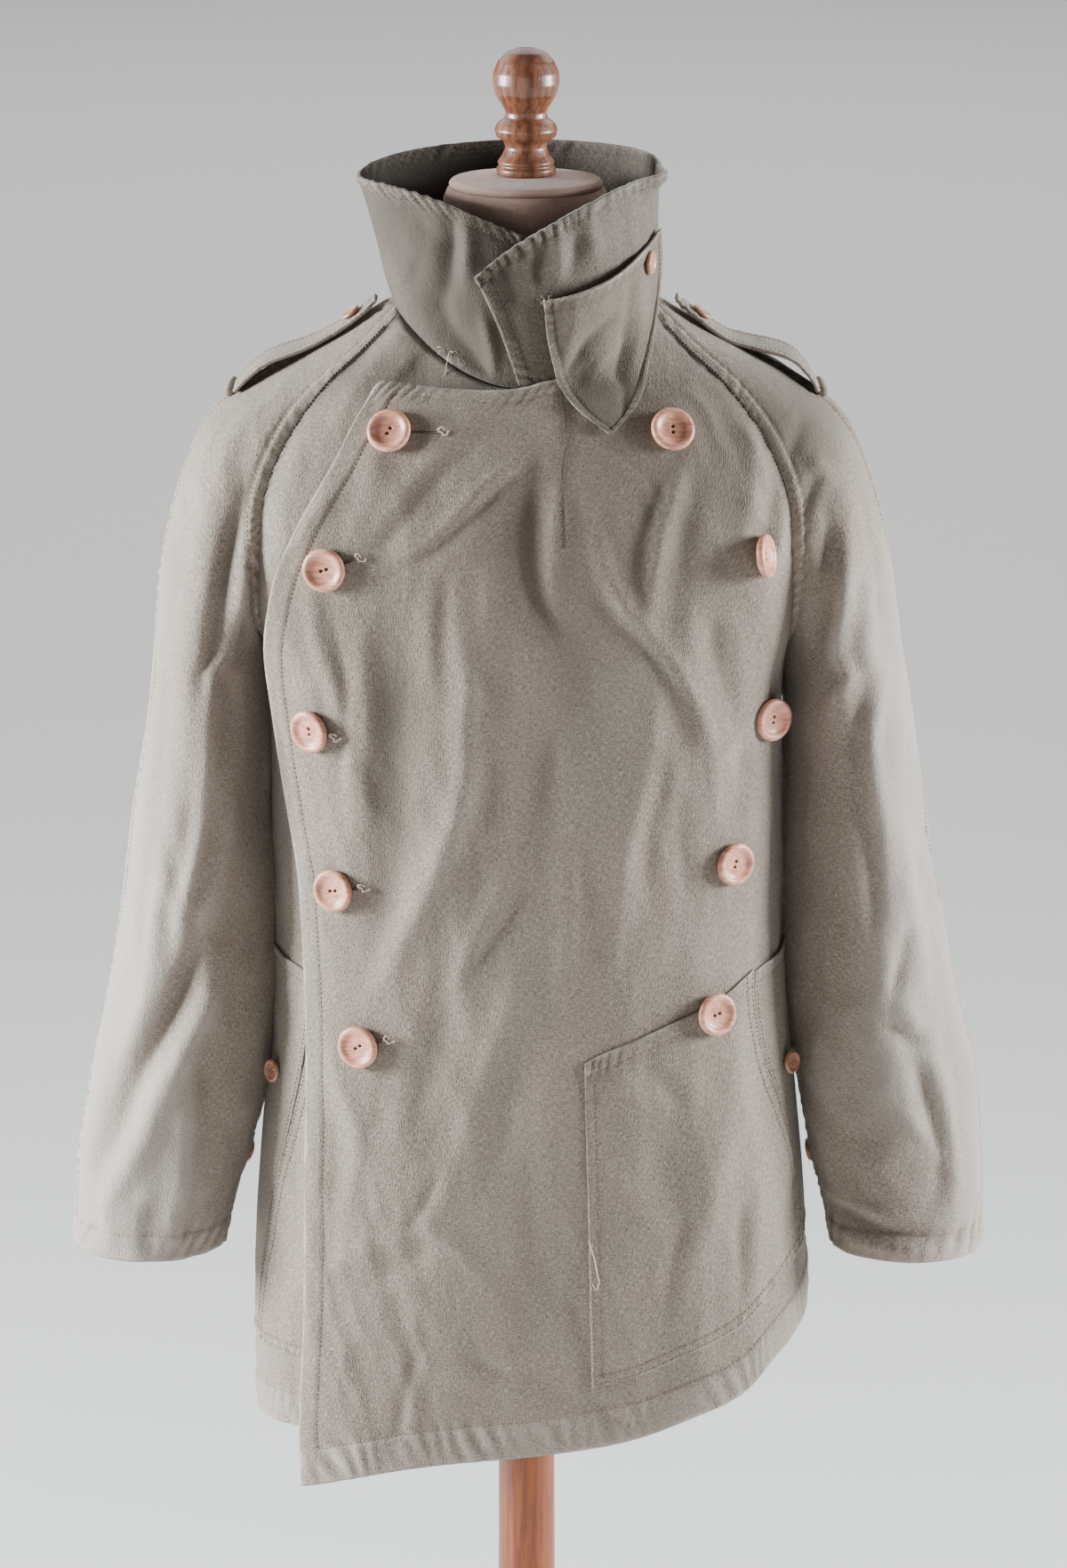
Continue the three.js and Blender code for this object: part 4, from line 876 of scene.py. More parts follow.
BACK_CREASES = [
    (120, 1330, 90, 1260, 70, 1150, 20, 3.5),
    (-115, 1320, -92, 1240, -84, 1120, 18, 3.2),
    (60, 1240, 48, 1100, 66, 960, 22, -3.6),
    (-40, 1260, -58, 1120, -46, 980, 24, -3.4),
    (8, 1200, 2, 1060, 14, 900, 20, 3),
    (148, 1220, 140, 1150, 150, 1060, 13, 3.5),
    (-150, 1230, -142, 1140, -152, 1040, 14, 3.2),
    (110, 980, 124, 860, 112, 740, 22, -3.4),
    (-100, 960, -118, 850, -104, 720, 22, -3.2),
    (70, 900, 84, 800, 76, 710, 18, 3),
    (-30, 880, -18, 800, -26, 710, 20, -2.8),
    (-70, 860, -66, 780, -74, 700, 16, 2.8),
    (30, 1400, 60, 1380, 100, 1350, 12, 2.2),
    (-26, 1402, -58, 1384, -96, 1352, 12, 2.0),
    (-130, 1010, -90, 985, -50, 975, 9, 2.2),
    (126, 1040, 90, 1010, 52, 1000, 8, 1.8),
]
rear = Panel(back_cut, -1 + 2 * closer_at_ends(96, 0.3), up_levels(160))
rear.ease(1, left=30, right=30)
settle(rear, creases(rear, BACK_CREASES, 1, 1.2) + crumple(rear, 31), {"left": 18, "right": 18, "top": 14})
rear.edge("foot", HEM, rise=0.5, pucker=0.7, pitch=12, seed=8, band=0.2)
# Both seam sides are painted darker: painted shade beside and under the sleeves.
for side_name, seed in (("left", 9), ("right", 10)):
    rear.edge(side_name, 3, rise=-0.4, pucker=0.3, seed=seed, rub=-0.5)
rear.cloth("back", canvas, flat=(0.57, 0.89), held="hung", rests_on=["form_torso"], area=0.352)
sew("back_stitching", rear.beside("foot", HEM - 0.5))

# ---- Sleeves ---------------------------------------------------------------------------------
# Raglan sleeves, each a front and a back cut, joined by a felled seam from the neck over the ridge of
# the shoulder to the cuff. The sleeve's edge lies over the body's, stitched 2 and 9 mm from the fold.
SEAM_LAP = 9
RIDGE_LAP = 8
CUFF_HEM = 19
sleeve = curves(
    "left_x right_x y half_width half_depth",
    (CUFF_Z, 269, 267, -35, 52, 49),
    (862, 262, 257, -28, 57, 53),
    (919, 256, 245, -21, 59, 58),
    (981, 245, 236, -14, 55, 64),
    (1045, 237, 231, -9, 50, 70),
    (1108, 231, 227, -5, 45.5, 76),
    (1172, 225, 220, -2, 41, 82),
    (ARMPIT_Z, 215.5, 215.5, 0, 39.5, 85),
)


def sleeve_point(turn, level, hand="left"):
    """A point of a sleeve, on the wearer's left. turn runs from -1 at the seam in front through 0 at
    the ridge to 1 at the seam behind, level from 0 at the neck through 1 at the armpit to 2 at the
    cuff. Below the armpit each row is a level ellipse; above, an arc that spans the two seams."""
    turn, level = np.broadcast_arrays(turn, level)
    z = blend(np.clip(level - 1, 0, 1), ARMPIT_Z, CUFF_Z)
    angle = turn * np.pi
    centre_x = (sleeve.left_x if hand == "left" else sleeve.right_x)(z)
    low = np.stack([
        centre_x + sleeve.half_width(z) * np.cos(angle),
        sleeve.y(z) + sleeve.half_depth(z) * np.sin(angle),
        z,
    ], -1)
    share = np.clip(1 - level, 0, 1)
    s = shoulder
    top = np.stack([s.rx(share), s.ry(share), s.rz(share)], -1)
    before = np.stack([s.fx(share), s.fy(share), s.fz(share)], -1)
    behind = np.stack([s.bx(share), s.by(share), s.bz(share)], -1)
    half = np.radians(s.spread(share))
    up, across = top - (before + behind) / 2, behind - before
    at_armpit = (share <= 0.002)[..., None]
    wide = np.linalg.norm(across, axis=-1) / 2 / np.maximum(np.sin(half), 1e-6)
    depth = np.where(share > 0.002, wide, sleeve.half_depth(ARMPIT_Z))
    across = np.where(at_armpit, np.array([0.0, 1.0, 0.0]), across)
    height = np.linalg.norm(up, axis=-1) / (1 - np.cos(half))
    high = top + unit(up) * (height * (np.cos(turn * half) - 1))[..., None]
    high = high + unit(across) * (depth * np.sin(turn * half))[..., None]
    return np.where((level > 1)[..., None], low, high)


def sleeve_half(hand, front_half):
    """A front or back cut of a sleeve. Its seam edges above the armpit stand half a millimetre clear
    of the body's."""
    facing = -1 if hand == "left" else 1

    def surface(across, level):
        across, level = np.broadcast_arrays(across, level)
        turn = facing * across
        point = sleeve_point(turn, level, hand)
        share = np.clip(1 - level, 0, 1)
        crest = np.stack([shoulder.rx(share), shoulder.ry(share), shoulder.rz(share)], -1)
        near = (level <= 1) * np.clip(1 - (1 - np.abs(turn)) / 0.02, 0, 1)
        point = point + unit(crest - point) * (0.45 * near)[..., None]
        return point * [-facing, 1, 1]

    columns, rows = (50, 200) if front_half else (38, 150)
    across = closer_at_ends(columns, 0.4) - (0 if front_half == (hand == "left") else 1)
    t = closer_at_ends(rows, 0.4)
    armpit = 0.42
    level = np.where(t < armpit, t / armpit, 1 + (t - armpit) / (1 - armpit))
    return Panel(surface, across, level)


LEFT_SLEEVE_CREASES = [
    (214, 1345, 215, 1310, 215, 1270, 211, 1230, 205, 1190, 6, 5),
    (203, 1340, 204, 1300, 203, 1260, 200, 1220, 6, -3),
    (222, 1232, 224, 1200, 227, 1165, 232, 1125, 238, 1085, 242, 1045, 244, 1010, 7, -5),
    (231, 1300, 232, 1230, 235, 1170, 241, 1110, 247, 1060, 252, 1030, 7, 4.5),
    (262, 1035, 258, 1015, 250, 992, 4, -3.2),
    (244, 1045, 245, 1015, 244, 990, 4, 2),
    (250, 968, 262, 957, 276, 950, 5, -3),
    (258, 985, 262, 975, 268, 965, 6, 2),
    (266, 945, 276, 915, 288, 885, 292, 858, 284, 836, 7, -4.5),
    (280, 940, 290, 905, 299, 870, 300, 835, 7, 4),
    (255, 905, 272, 888, 290, 866, 3.5, 2),
    (216, 832, 240, 822, 270, 815, 312, 810, 4, -2.6),
    (212, 842, 235, 834, 262, 830, 4, 2),
    (225, 812, 250, 806, 280, 804, 4, 1.8),
    (217, 826, 216, 812, 220, 800, 6, -2.6),
    (228, 1330, 236, 1290, 247, 1240, 252, 1200, 5, -2.4),
    (238, 1350, 248, 1290, 256, 1230, 6, 2),
    (262, 1160, 270, 1090, 280, 1020, 6, -2.4),
    (252, 1120, 262, 1060, 272, 1000, 6, 2.4),
    (290, 980, 300, 920, 306, 860, 6, -2),
    (187, 1338, 193, 1350, 200, 1356, 5, -2.6),
    (191, 1365, 198, 1361, 207, 1353, 5, 2.4),
    (186, 1389, 178, 1373, 172, 1363, 6, -2),
    (209, 965, 207, 910, 214, 858, 10, 2),
    (228, 877, 243, 860, 265, 845, 9, 1.6),
]
RIGHT_SLEEVE_CREASES = [
    (-190, 1342, -203, 1306, -207, 1262, -214, 1225, -220, 1195, 7, -6),
    (-187, 1320, -194, 1275, -203, 1240, -213, 1205, 5.5, 4.5),
    (-194, 1255, -200, 1215, -203, 1180, -205, 1150, 6, -4),
    (-212, 1195, -215, 1150, -220, 1105, -229, 1065, -240, 1030, -250, 1000, 6, 3.5),
    (-204, 1145, -203, 1110, -208, 1070, -220, 1030, -226, 1000, 6, 3),
    (-226, 1125, -230, 1100, -236, 1075, 5, -2.4),
    (-244, 1098, -238, 1072, -232, 1052, 4, -2.2),
    (-211, 1110, -218, 1085, -226, 1058, 4, -2.2),
    (-246, 1060, -245, 1035, -246, 1010, 5, -2),
    (-212, 1040, -233, 1004, -252, 962, -270, 930, -288, 888, -300, 860, -308, 832, 8, -7),
    (-205, 1020, -217, 999, -230, 957, -250, 925, -268, 890, -282, 858, -290, 830, 8, 5.5),
    (-232, 930, -240, 890, -240, 850, -236, 815, 10, 4),
    (-222, 950, -224, 910, -232, 870, -236, 850, 6, -3),
    (-241, 854, -245, 828, -241, 804, 5, 2),
    (-234, 856, -237, 830, -234, 797, 5, -2.4),
    (-262, 835, -264, 815, -262, 800, 5, -2),
    (-286, 852, -292, 832, -290, 810, 5, 2),
    (-236, 1310, -241, 1284, -243, 1255, 5, -2.4),
    (-229, 1334, -230, 1325, -228, 1315, 4, -1.4),
    (-246, 1210, -250, 1160, -252, 1110, 5, -2.2),
    (-258, 1150, -262, 1080, -268, 1010, 6, -2.4),
    (-252, 1060, -262, 1000, -275, 940, 5, 2.4),
    (-206, 1401, -219, 1351, -227, 1302, 10, 1.6),
]
BEHIND_SLEEVE_CREASES = [
    (216, 1330, 232, 1250, 238, 1160, 14, 3.5),
    (205, 1180, 222, 1090, 230, 1000, 14, -4),
    (262, 1040, 235, 1005, 210, 985, 9, -3),
    (265, 1000, 238, 970, 214, 950, 10, 3),
    (275, 955, 250, 930, 222, 915, 9, -2.8),
    (240, 920, 262, 860, 270, 810, 14, 3),
    (225, 1380, 200, 1350, 186, 1310, 10, -2.5),
]
sleeves = {}
for hand, sign, planned in (("left", 1, LEFT_SLEEVE_CREASES), ("right", -1, RIGHT_SLEEVE_CREASES)):
    mirrored = np.array(BEHIND_SLEEVE_CREASES) * [sign, 1, sign, 1, sign, 1, 1, 1]
    for half_name, is_front in (("front", True), ("back", False)):
        part = sleeve_half(hand, is_front)
        laid = creases(part, planned if is_front else mirrored, -1 if is_front else 1, 1.35)
        seed = 40 + 4 * is_front + 8 * sign
        seam_side = "right" if is_front == (hand == "left") else "left"
        ridge_side = "left" if seam_side == "right" else "right"
        part.ease(1, **{seam_side: 30})
        heights = laid + 0.8 * crumple(part, seed, 1, 1.7)
        settle(part, heights, {seam_side: 16, ridge_side: 12, "foot": 10}, 0.08)
        beside_body = np.exp(-(((part.flat[..., 2] - 1030) / 165) ** 4))
        towards_body = 7 * beside_body * (1 - smooth(getattr(part, seam_side), 0, 60))
        part.lift(towards_body)
        outer = np.clip((np.abs(part.flat[..., 0]) - 208) / 60, 0, 1)
        # Two darker patches on the sleeve on the wearer's left: painted shade below its shoulder seam, and
        # a darker cuff.
        for x, z, soil_and_shade in ((250, 830, 1), (175, 1395, 0.9)):
            part.wear_and_painted_light -= soil_and_shade * np.exp(-(((part.flat - [x, -60, z]) / [60, 70, 60]) ** 2).sum(-1))
        # The outer side is paler, as sun-bleached cloth and as painted highlight for the side light on it,
        # and the sleeve a little paler towards the cuff, painted light.
        part.wear_and_painted_light += 0.8 * outer + 0.1 * smooth(-part.flat[..., 2], -1000, -830)
        part.edge(seam_side, SEAM_LAP, rise=0.9, pucker=0.7, pitch=9, seed=seed + 1, rub=0.2, band=0.25)
        felled, rise = (RIDGE_LAP, 0.5) if is_front else (3, -0.2)
        part.edge(ridge_side, felled, rise=rise, pucker=0.7, pitch=9, seed=seed + 2, rub=0.6)
        part.edge("top", CUFF_HEM, rise=0.5, pucker=0.7, pitch=13, seed=seed + 3, band=0.1)
        name = f"{hand}_sleeve_{half_name}"
        part.cloth(name, canvas, flat=(0.21, 0.77), held="hung", rests_on=["form_torso"], area=0.113)
        lines = [part.beside(seam_side, off, 0.02, 0.42) for off in (1.8, SEAM_LAP)]
        lines += [part.beside("top", CUFF_HEM - 0.5)]
        if is_front:
            lines += [part.beside(ridge_side, off) for off in (1.8, RIDGE_LAP - 0.5)]
        # A near black line along the sleeve's seam edge: painted shadow.
        seam = part.beside(seam_side, 0.5, 0.02, 0.42)
        sew(name + "_seam", seam, finish=seam_shadow, pitch=2.8, length=3, thick=1.5)
        sew(name + "_stitching", *lines)
        sleeves[hand, half_name] = part

# ---- Collar ----------------------------------------------------------------------------------
# A tall standing collar of two canvases over an interlining, sewn into the neck and buttoned across
# the throat. Its rim is stitched 7 mm from the fold and its slanted end twice.
COLLAR_WALL = 2.4
collar_top = curves(
    "top out", (-200, 1507, -3), (-180, 1521, -2), (-150, 1540, 0), (-125, 1547, 2), (-90, 1547, 4),
    (-45, 1553, 2), (0, 1557, 0), (45, 1557, 2), (90, 1555, 0), (125, 1550, 3), (150, 1539, 5),
    (180, 1511, 7), (200, 1480, 10),
)


def neck_seam(turn):
    """The neck seam by the angle round it in degrees, 0 in the middle of the back and positive to the
    wearer's left: half the back takes 75 degrees, the top of a sleeve 25 and a front the rest."""
    angle = np.abs(turn)
    side = np.clip(1 - (angle - 100) / 80, -0.2, 1)
    behind = body_point(np.clip(angle / 75, 0, 1), 2 + 0 * angle, back_hem, behind=True)
    over_sleeve = sleeve_point(np.clip(1 - 2 * (angle - 75) / 25, -1, 1), 0 * angle)
    neck = 2 + 0 * angle
    before = np.where((turn > 0)[..., None], left_front(side, neck), right_front(side, neck))
    before = np.where((angle <= 100)[..., None], over_sleeve, before)
    near = np.where((angle <= 75)[..., None], behind, before)
    return near * np.where((turn < 0)[..., None], [-1, 1, 1], 1)


def collar_cut(across, level):
    """across is the angle with its sign turned, level runs from the neck seam (0) to the rim (1), in a
    straight line to a slightly flared ring, whose left corner turns out. The left end slants in
    towards the foot."""
    across, level = np.broadcast_arrays(across, level)
    turn = -across
    turn = turn - 10 * (1 - level) * smooth(turn, 150, 193)
    angle = np.radians(turn)
    out = collar_top.out(turn) + 10 * np.exp(-(((turn - 112) / 9) ** 2)) * smooth(level, 0.75, 1)
    depth = np.where(np.abs(turn) < 90, 88, 86) + out
    rim = np.stack([-10 + (98 + out) * np.sin(angle), 4 + depth * np.cos(angle), collar_top.top(turn)], -1)
    foot = neck_seam(turn) + [0, 0, 1.7]
    return blend(level[..., None], foot, rim)


COLLAR_CREASES = [
    (-49, 1521, -54, 1488, -62, 1464, 7, -3.4),
    (-62, 1469, -55, 1449, -32, 1430, 8, -3.2),
    (-41, 1527, -40, 1506, -43, 1488, 6, 2.4),
    (-30, 1462, -26, 1444, -24, 1427, 4, 1.6),
    (-90, 1498, -83, 1463, -65, 1428, 11, 2.6),
    (-71, 1496, -74, 1489, -76, 1479, 3, -1.1),
    (20, 1522, 23, 1503, 21, 1487, 5, 2),
    (34, 1519, 32, 1506, 31, 1494, 5, -1.6),
    (-15, 1498, -10, 1486, -6, 1473, 6, -1),
    (40, 1532, 45, 1518, 47, 1504, 6, 1.4),
    (11, 1512, 7, 1498, 9, 1483, 5, -1.4),
    (-81, 1535, -72, 1519, -59, 1514, 7, -1.2),
]
collar = Panel(collar_cut, 193 * (2 * closer_at_ends(260, 0.35) - 1), closer_at_ends(44, 0.4))
settle(collar, creases(collar, COLLAR_CREASES, -1, 2) + 0.5 * crumple(collar, 61), {"foot": 8}, 0.12)
# The collar's side on the wearer's right is painted darker: painted shade for the weaker light there.
collar.wear_and_painted_light -= smooth(-collar.flat[..., 0], -20, 30)
frayed = np.exp(-((((collar.flat - [-53, -80, 1431]) / [12, 40, 3.5]) ** 2).sum(-1) ** 2))
collar.wear_and_painted_light += 1.8 * frayed * (0.6 + 0.6 * waves(collar.flat, 6, 65))
collar.edge("top", 7, rise=0.5, pucker=1.3, pitch=8, seed=31, rub=1.3)
collar.edge("left", 9, rise=0.4, pucker=0.7, pitch=9, seed=32, rub=1.4)
collar.edge("right", 9, rise=0.35, pucker=0.3, pitch=9, seed=33)
collar.edge("foot", 3, rise=-0.5, pucker=0.25, pitch=9, seed=34, rub=0.2)
# The collar's canvas is a darker tone, and its inside darker still: painted shade where little light
# reaches into the collar.
collar.cloth(
    "collar", canvas_finish("collar_canvas", 0.56), wall=COLLAR_WALL, hem=0.5,
    inside=canvas_finish("inner_canvas_painted_shade", 0.36),
    flat=(0.66, 0.11), held="hung", rests_on=["form_torso"], area=0.0587,
)
sew(
    "collar_stitching", collar.beside("top", 7), collar.beside("left", 4), collar.beside("left", 10),
    collar.beside("foot", 6, 0, 0.3), wall=COLLAR_WALL,
)

# ---- Patch pockets ---------------------------------------------------------------------------
# Two pieces on each front: a slanted patch with a turned mouth, stitched twice round, and beside its
# curved edge a side piece that buttons back. The right one is mostly under the overlap.
POCKET_INNER = 0.13
POCKETS = {  # inner and outer level of the patch's foot and mouth, then of the side piece's
    "left": ((0.083, 0.11), (0.517, 0.572), (0.11, 0.12), (0.567, 0.552)),
    "right": ((0.083, 0.1), (0.55, 0.61), (0.1, 0.11), (0.604, 0.625)),
}
pocket_edge = curves(
    "side", (0.08, 0.865), (0.14, 0.85), (0.22, 0.82), (0.33, 0.757), (0.43, 0.689), (0.5, 0.652),
    (0.58, 0.634),
).side


def pocket_cut(hand, is_patch):
    """Points and directions of the front beneath, at the pocket's own rows: each runs between the
    levels of its foot and mouth, and from its inner edge to the curved edge or from there to the
    side seam; then moved out to lie on the front."""
    foot, mouth, side_foot, side_mouth = POCKETS[hand]

    def surface(across, up):
        across, up = np.broadcast_arrays(across, up)
        u = across if hand == "left" else 1 - across
        low = blend(u, *foot) if is_patch else blend(u, *side_foot)
        high = blend(u**0.7, *mouth) if is_patch else blend(u, *side_mouth)
        level = blend(up, low, high)
        edge = pocket_edge(level)
        side = blend(u, POCKET_INNER, edge) if is_patch else blend(u, edge + 0.004, 0.98)
        side, level, shape = side.ravel(), level.ravel(), side.shape
        points, out = over_front((side, level)) if hand == "left" else under.at(-side, level)
        return (points + out * 1.25).reshape(*shape, 3)

    return surface


for hand in ("left", "right"):
    inner, outer = ("left", "right") if hand == "left" else ("right", "left")
    patch = Panel(pocket_cut(hand, True), closer_at_ends(70, 0.4), closer_at_ends(96, 0.4))
    seed = 80 if hand == "left" else 90
    patch.lift(0.35 * crumple(patch, seed) * smooth(patch.foot, 0, 20) * smooth(patch.top, 0, 20))
    if hand == "left":
        patch_front = patch
    patch.edge(inner, 8, rise=0.15, pucker=0.35, seed=seed, rub=0)
    patch.edge(outer, 8, rise=0.2, pucker=0.3, seed=seed + 1, rub=0)
    patch.edge("top", 11, rise=0.5, pucker=0.4, pitch=8, seed=seed + 2, rub=0.9)
    patch.edge("foot", 8, rise=0.2, pucker=0.8, pitch=9, seed=seed + 3, rub=0.1)
    name = f"{hand}_patch_pocket"
    patch.cloth(
        name, canvas, hem=0, held="laid", rests_on=[f"{hand}_front"],
        flat=(0.205, 0.24) if hand == "left" else (0.19, 0.29), area=0.0386 if hand == "left" else 0.0418,
    )
    lines = [patch.beside(inner, off) for off in (2, 8)] + [patch.beside(outer, off) for off in (2, 8)]
    lines += [patch.beside("top", 10.5), patch.beside("foot", 2), patch.beside("foot", 8)]
    sew(name + "_stitching", *lines)
    flank = Panel(pocket_cut(hand, False), closer_at_ends(30, 0.4), closer_at_ends(96, 0.4))
    flank.lift(0.3 * crumple(flank, seed + 4) * smooth(flank.foot, 0, 20))
    flank.edge("top", 9, rise=0.6, pucker=0.4, seed=seed + 5)
    flank.edge("foot", 6, rise=0.4, pucker=0.3, seed=seed + 6)
    name = f"{hand}_pocket_side"
    flank.cloth(
        name, canvas, hem=0.3, held="laid", rests_on=[f"{hand}_front"],
        flat=(0.086, 0.22) if hand == "left" else (0.087, 0.29), area=0.0131 if hand == "left" else 0.0186,
    )
    sew(name + "_stitching", flank.beside("top", 8.5), flank.beside("foot", 5.5), flank.beside(inner, 3))

# ---- Throat tab ------------------------------------------------------------------------------
# A pointed tab of single canvas, sewn along one end and buttoned up to the collar's left side. It
# hangs as a bag, open at the top, and its turned edges are stitched.
tab = {
    column: curves("x y z", *rows)
    for column, rows in {
        "left": (
            (0, 12, -90.5, 1477), (0.3, 14, -91, 1452), (0.5, 18, -92, 1434), (0.7, 23, -94, 1418),
            (0.87, 36, -104, 1404), (1, 55, -111.5, 1391),
        ),
        "middle": (
            (0, 56, -78, 1489), (0.3, 58, -72, 1462), (0.5, 56, -74, 1441), (0.7, 52, -86, 1424),
            (0.87, 54, -102, 1406), (1, 56.5, -111.3, 1391),
        ),
        "right": (
            (0, 90, -18, 1513), (0.3, 91, -7, 1484), (0.5, 88, -33, 1458), (0.7, 82, -70, 1430),
            (0.87, 75, -95, 1410), (1, 58, -111, 1391),
        ),
    }.items()
}


def tab_cut(across, up):
    """Each row is the parabola through its left, middle and right points, from the point of the tab
    (0) to its top edge (1)."""
    across, up = np.broadcast_arrays(across, up)
    down = 1 - up
    left, middle, right = (
        np.stack([c.x(down), c.y(down), c.z(down)], -1) for c in (tab["left"], tab["middle"], tab["right"])
    )
    a = across[..., None]
    return left * (1 - 2 * a) * (1 - a) + middle * 4 * a * (1 - a) + right * a * (2 * a - 1)


TAB_CREASES = [
    (59, 1458, 45, 1445, 33, 1430, 4, -2.8),
    (65, 1443, 55, 1434, 48, 1424, 6, 2.2),
    (71, 1483, 70, 1457, 65, 1431, 3, -2.4),
    (79, 1483, 78, 1439, 72, 1419, 5, 2.4),
    (33, 1467, 32, 1448, 29, 1436, 6, 1.4),
    (64, 1424, 71, 1415, 69, 1401, 4, -1.4),
    (35, 1424, 45, 1413, 58, 1415, 6, -1.2),
]
flap = Panel(tab_cut, closer_at_ends(80, 0.5), 0.004 + 0.996 * closer_at_ends(90, 0.5))
heights = creases(flap, TAB_CREASES, -1, 1.3) + 0.3 * crumple(flap, 71)
settle(flap, heights, {"left": 6, "top": 4, "right": 4})
flap.wear_and_painted_light -= 0.7
flap.edge("top", 8, rise=0.4, pucker=0.3, pitch=8, seed=41, rub=1.0)
flap.edge("left", 5, rise=0.4, pucker=0.25, pitch=8, seed=42)
flap.edge("right", 5, rise=0.4, pucker=0.25, pitch=8, seed=43)
flap.cloth("throat_tab", canvas, hem=0.8, flat=(0.13, 0.12), held="hung", rests_on=["collar"], area=0.0089)
sides = [flap.beside(side_name, 4.5, 0.1) for side_name in ("left", "right")]
sew("throat_tab_stitching", flap.beside("top", 7.5), *sides)

# ---- Shoulder straps and their loops ---------------------------------------------------------
# A strap of doubled canvas along the ridge of each sleeve, its inner end buttoned down near the
# collar and its outer end caught by a small rolled loop. It stands up in waves between.
STRAP_WALL = 2.2
strap_rows = curves(
    "share left right", (0, 0.979, 4, 4.5), (0.16, 0.948, 3, 2.6), (0.36, 0.905, 0.3, 0.5),
    (0.5, 0.878, 2.5, 0.8), (0.76, 0.812, 9, 4.5), (0.9, 0.77, 6, 3), (1, 0.742, 0.6, 0.6),
)


def strap_cut(hand):
    """across runs over the strap from -1 to 1 and along from its buttoned end (0) to the loop (1). Its
    width narrows to the end, and each row lies over the ridge of the sleeve by the strap's lift."""
    facing = -1 if hand == "left" else 1

    def surface(across, along):
        across, along = np.broadcast_arrays(across, along)
        share = strap_rows.share(along)
        width = 44 * (1 - 0.25 * (1 - smooth(along, 0, 0.08)))
        turn = facing * across * width / 2 / (np.radians(shoulder.spread(share)) * 80)
        off = CANVAS_WALL + 0.6 + STRAP_WALL / 2 + getattr(strap_rows, hand)(along)
        point = sleeve_point(turn, 1 - share) + outward(sleeve_point, turn, 1 - share, -1) * off[..., None]
        return point * [-facing, 1, 1]

    return surface


def tube(line, radius, sides=10):
    """Rings of points round a line: each ring lies across the line's direction, turned from the
    upright."""
    along = unit(np.gradient(line, axis=0))
    side = unit(np.cross(along, [0.1, 0.2, 1.0]))
    up = np.cross(along, side)
    angle = np.linspace(0, 2 * np.pi, sides + 1)[:-1]
    ring = side[:, None] * np.cos(angle)[:, None] + up[:, None] * np.sin(angle)[:, None]
    return line[:, None] + ring * np.reshape(radius, (-1, 1, 1))


def cord_mesh(name, finish, line, radius, sides=10):
    """A round piece along a line, closed at both ends."""
    ends = np.array([0, *range(len(line)), len(line) - 1])
    rings = tube(line, radius, sides)[ends]
    rings[[0, -1]] = line[[0, -1], None] + 0.01 * (rings[[0, -1]] - line[[0, -1], None])
    return close_up(put_mesh(name, rings, grid_faces(*rings.shape[:2], True)[:, ::-1], finish))


for hand in ("left", "right"):
    strap = Panel(strap_cut(hand), 2 * closer_at_ends(28, 0.5) - 1, closer_at_ends(90, 0.5))
    seed = 100 if hand == "left" else 110
    strap.lift(0.25 * crumple(strap, seed, 0.5))
    for side_name in ("left", "right", "foot"):
        strap.edge(side_name, 5, rise=0.3, pucker=0.3, pitch=9, seed=seed, rub=1.0)
    name = f"{hand}_epaulette"
    strap.cloth(
        name, canvas, wall=STRAP_WALL, hem=0.4,
        flat=(0.044, 0.12), held="laid", rests_on=[f"{hand}_sleeve_front", f"{hand}_sleeve_back"],
    )
    sew(
        name + "_stitching", *(strap.beside(s, 5) for s in ("left", "right", "foot")),
        wall=STRAP_WALL, thick=0.5,
    )
    sign = 1 if hand == "left" else -1
    spread_there = np.radians(shoulder.spread(0.7315)) * 80
    turns = np.linspace(-15, 15, 13) / spread_there
    level = 1 - 0.7315 + 0 * turns
    line = (sleeve_point(turns, level) + outward(sleeve_point, turns, level, -1) * 4.2) * [sign, 1, 1]
    roll = cord_mesh(name + "_loop_cloth", canvas, line, 3.1 + 0.25 * np.cos(np.arange(13) * 2.1), 16)
    fit(roll, "canvas", f"{hand}_epaulette_loop")

# ---- Cuff tabs -------------------------------------------------------------------------------
# A plain strap round the back of each cuff on the side towards the body, stitched down and held by
# a small button.
for hand in ("left", "right"):
    sleeve_back = sleeves[hand, "back"]
    facing = -1 if hand == "left" else 1

    def cuff_cut(across, up):
        """Points of the sleeve's back at the height up, moved out to lie on it."""
        across, up = np.broadcast_arrays(across, up)
        level = 1 + (ARMPIT_Z - up) / (ARMPIT_Z - CUFF_Z)
        points, out = sleeve_back.at(across.ravel(), level.ravel())
        return (points + out * 1.9).reshape(*across.shape, 3)

    ends = sorted((facing * 0.5, facing * 0.97))
    band = Panel(cuff_cut, ends[0] + 0.47 * closer_at_ends(50, 0.5), 842 + 30 * closer_at_ends(18, 0.5))
    band.wear_and_painted_light += 0.3
    for side_name in ("left", "right", "foot", "top"):
        band.edge(side_name, 4, rise=0.3, pucker=0.25, pitch=8, seed=120, rub=0.9)
    name = f"{hand}_cuff_tab"
    band.cloth(name, canvas, flat=(0.09, 0.032), held="laid", rests_on=[f"{hand}_sleeve_back"])
    sew(name + "_stitching", *(band.beside(s, 3.5) for s in ("left", "right", "foot", "top")))

# ---- Buttons ---------------------------------------------------------------------------------
# Turned from pale wood and waxed: a thick round rim, a dished middle, and two drilled holes in the
# large ones, four in the small. Each is sewn on with cotton thread.


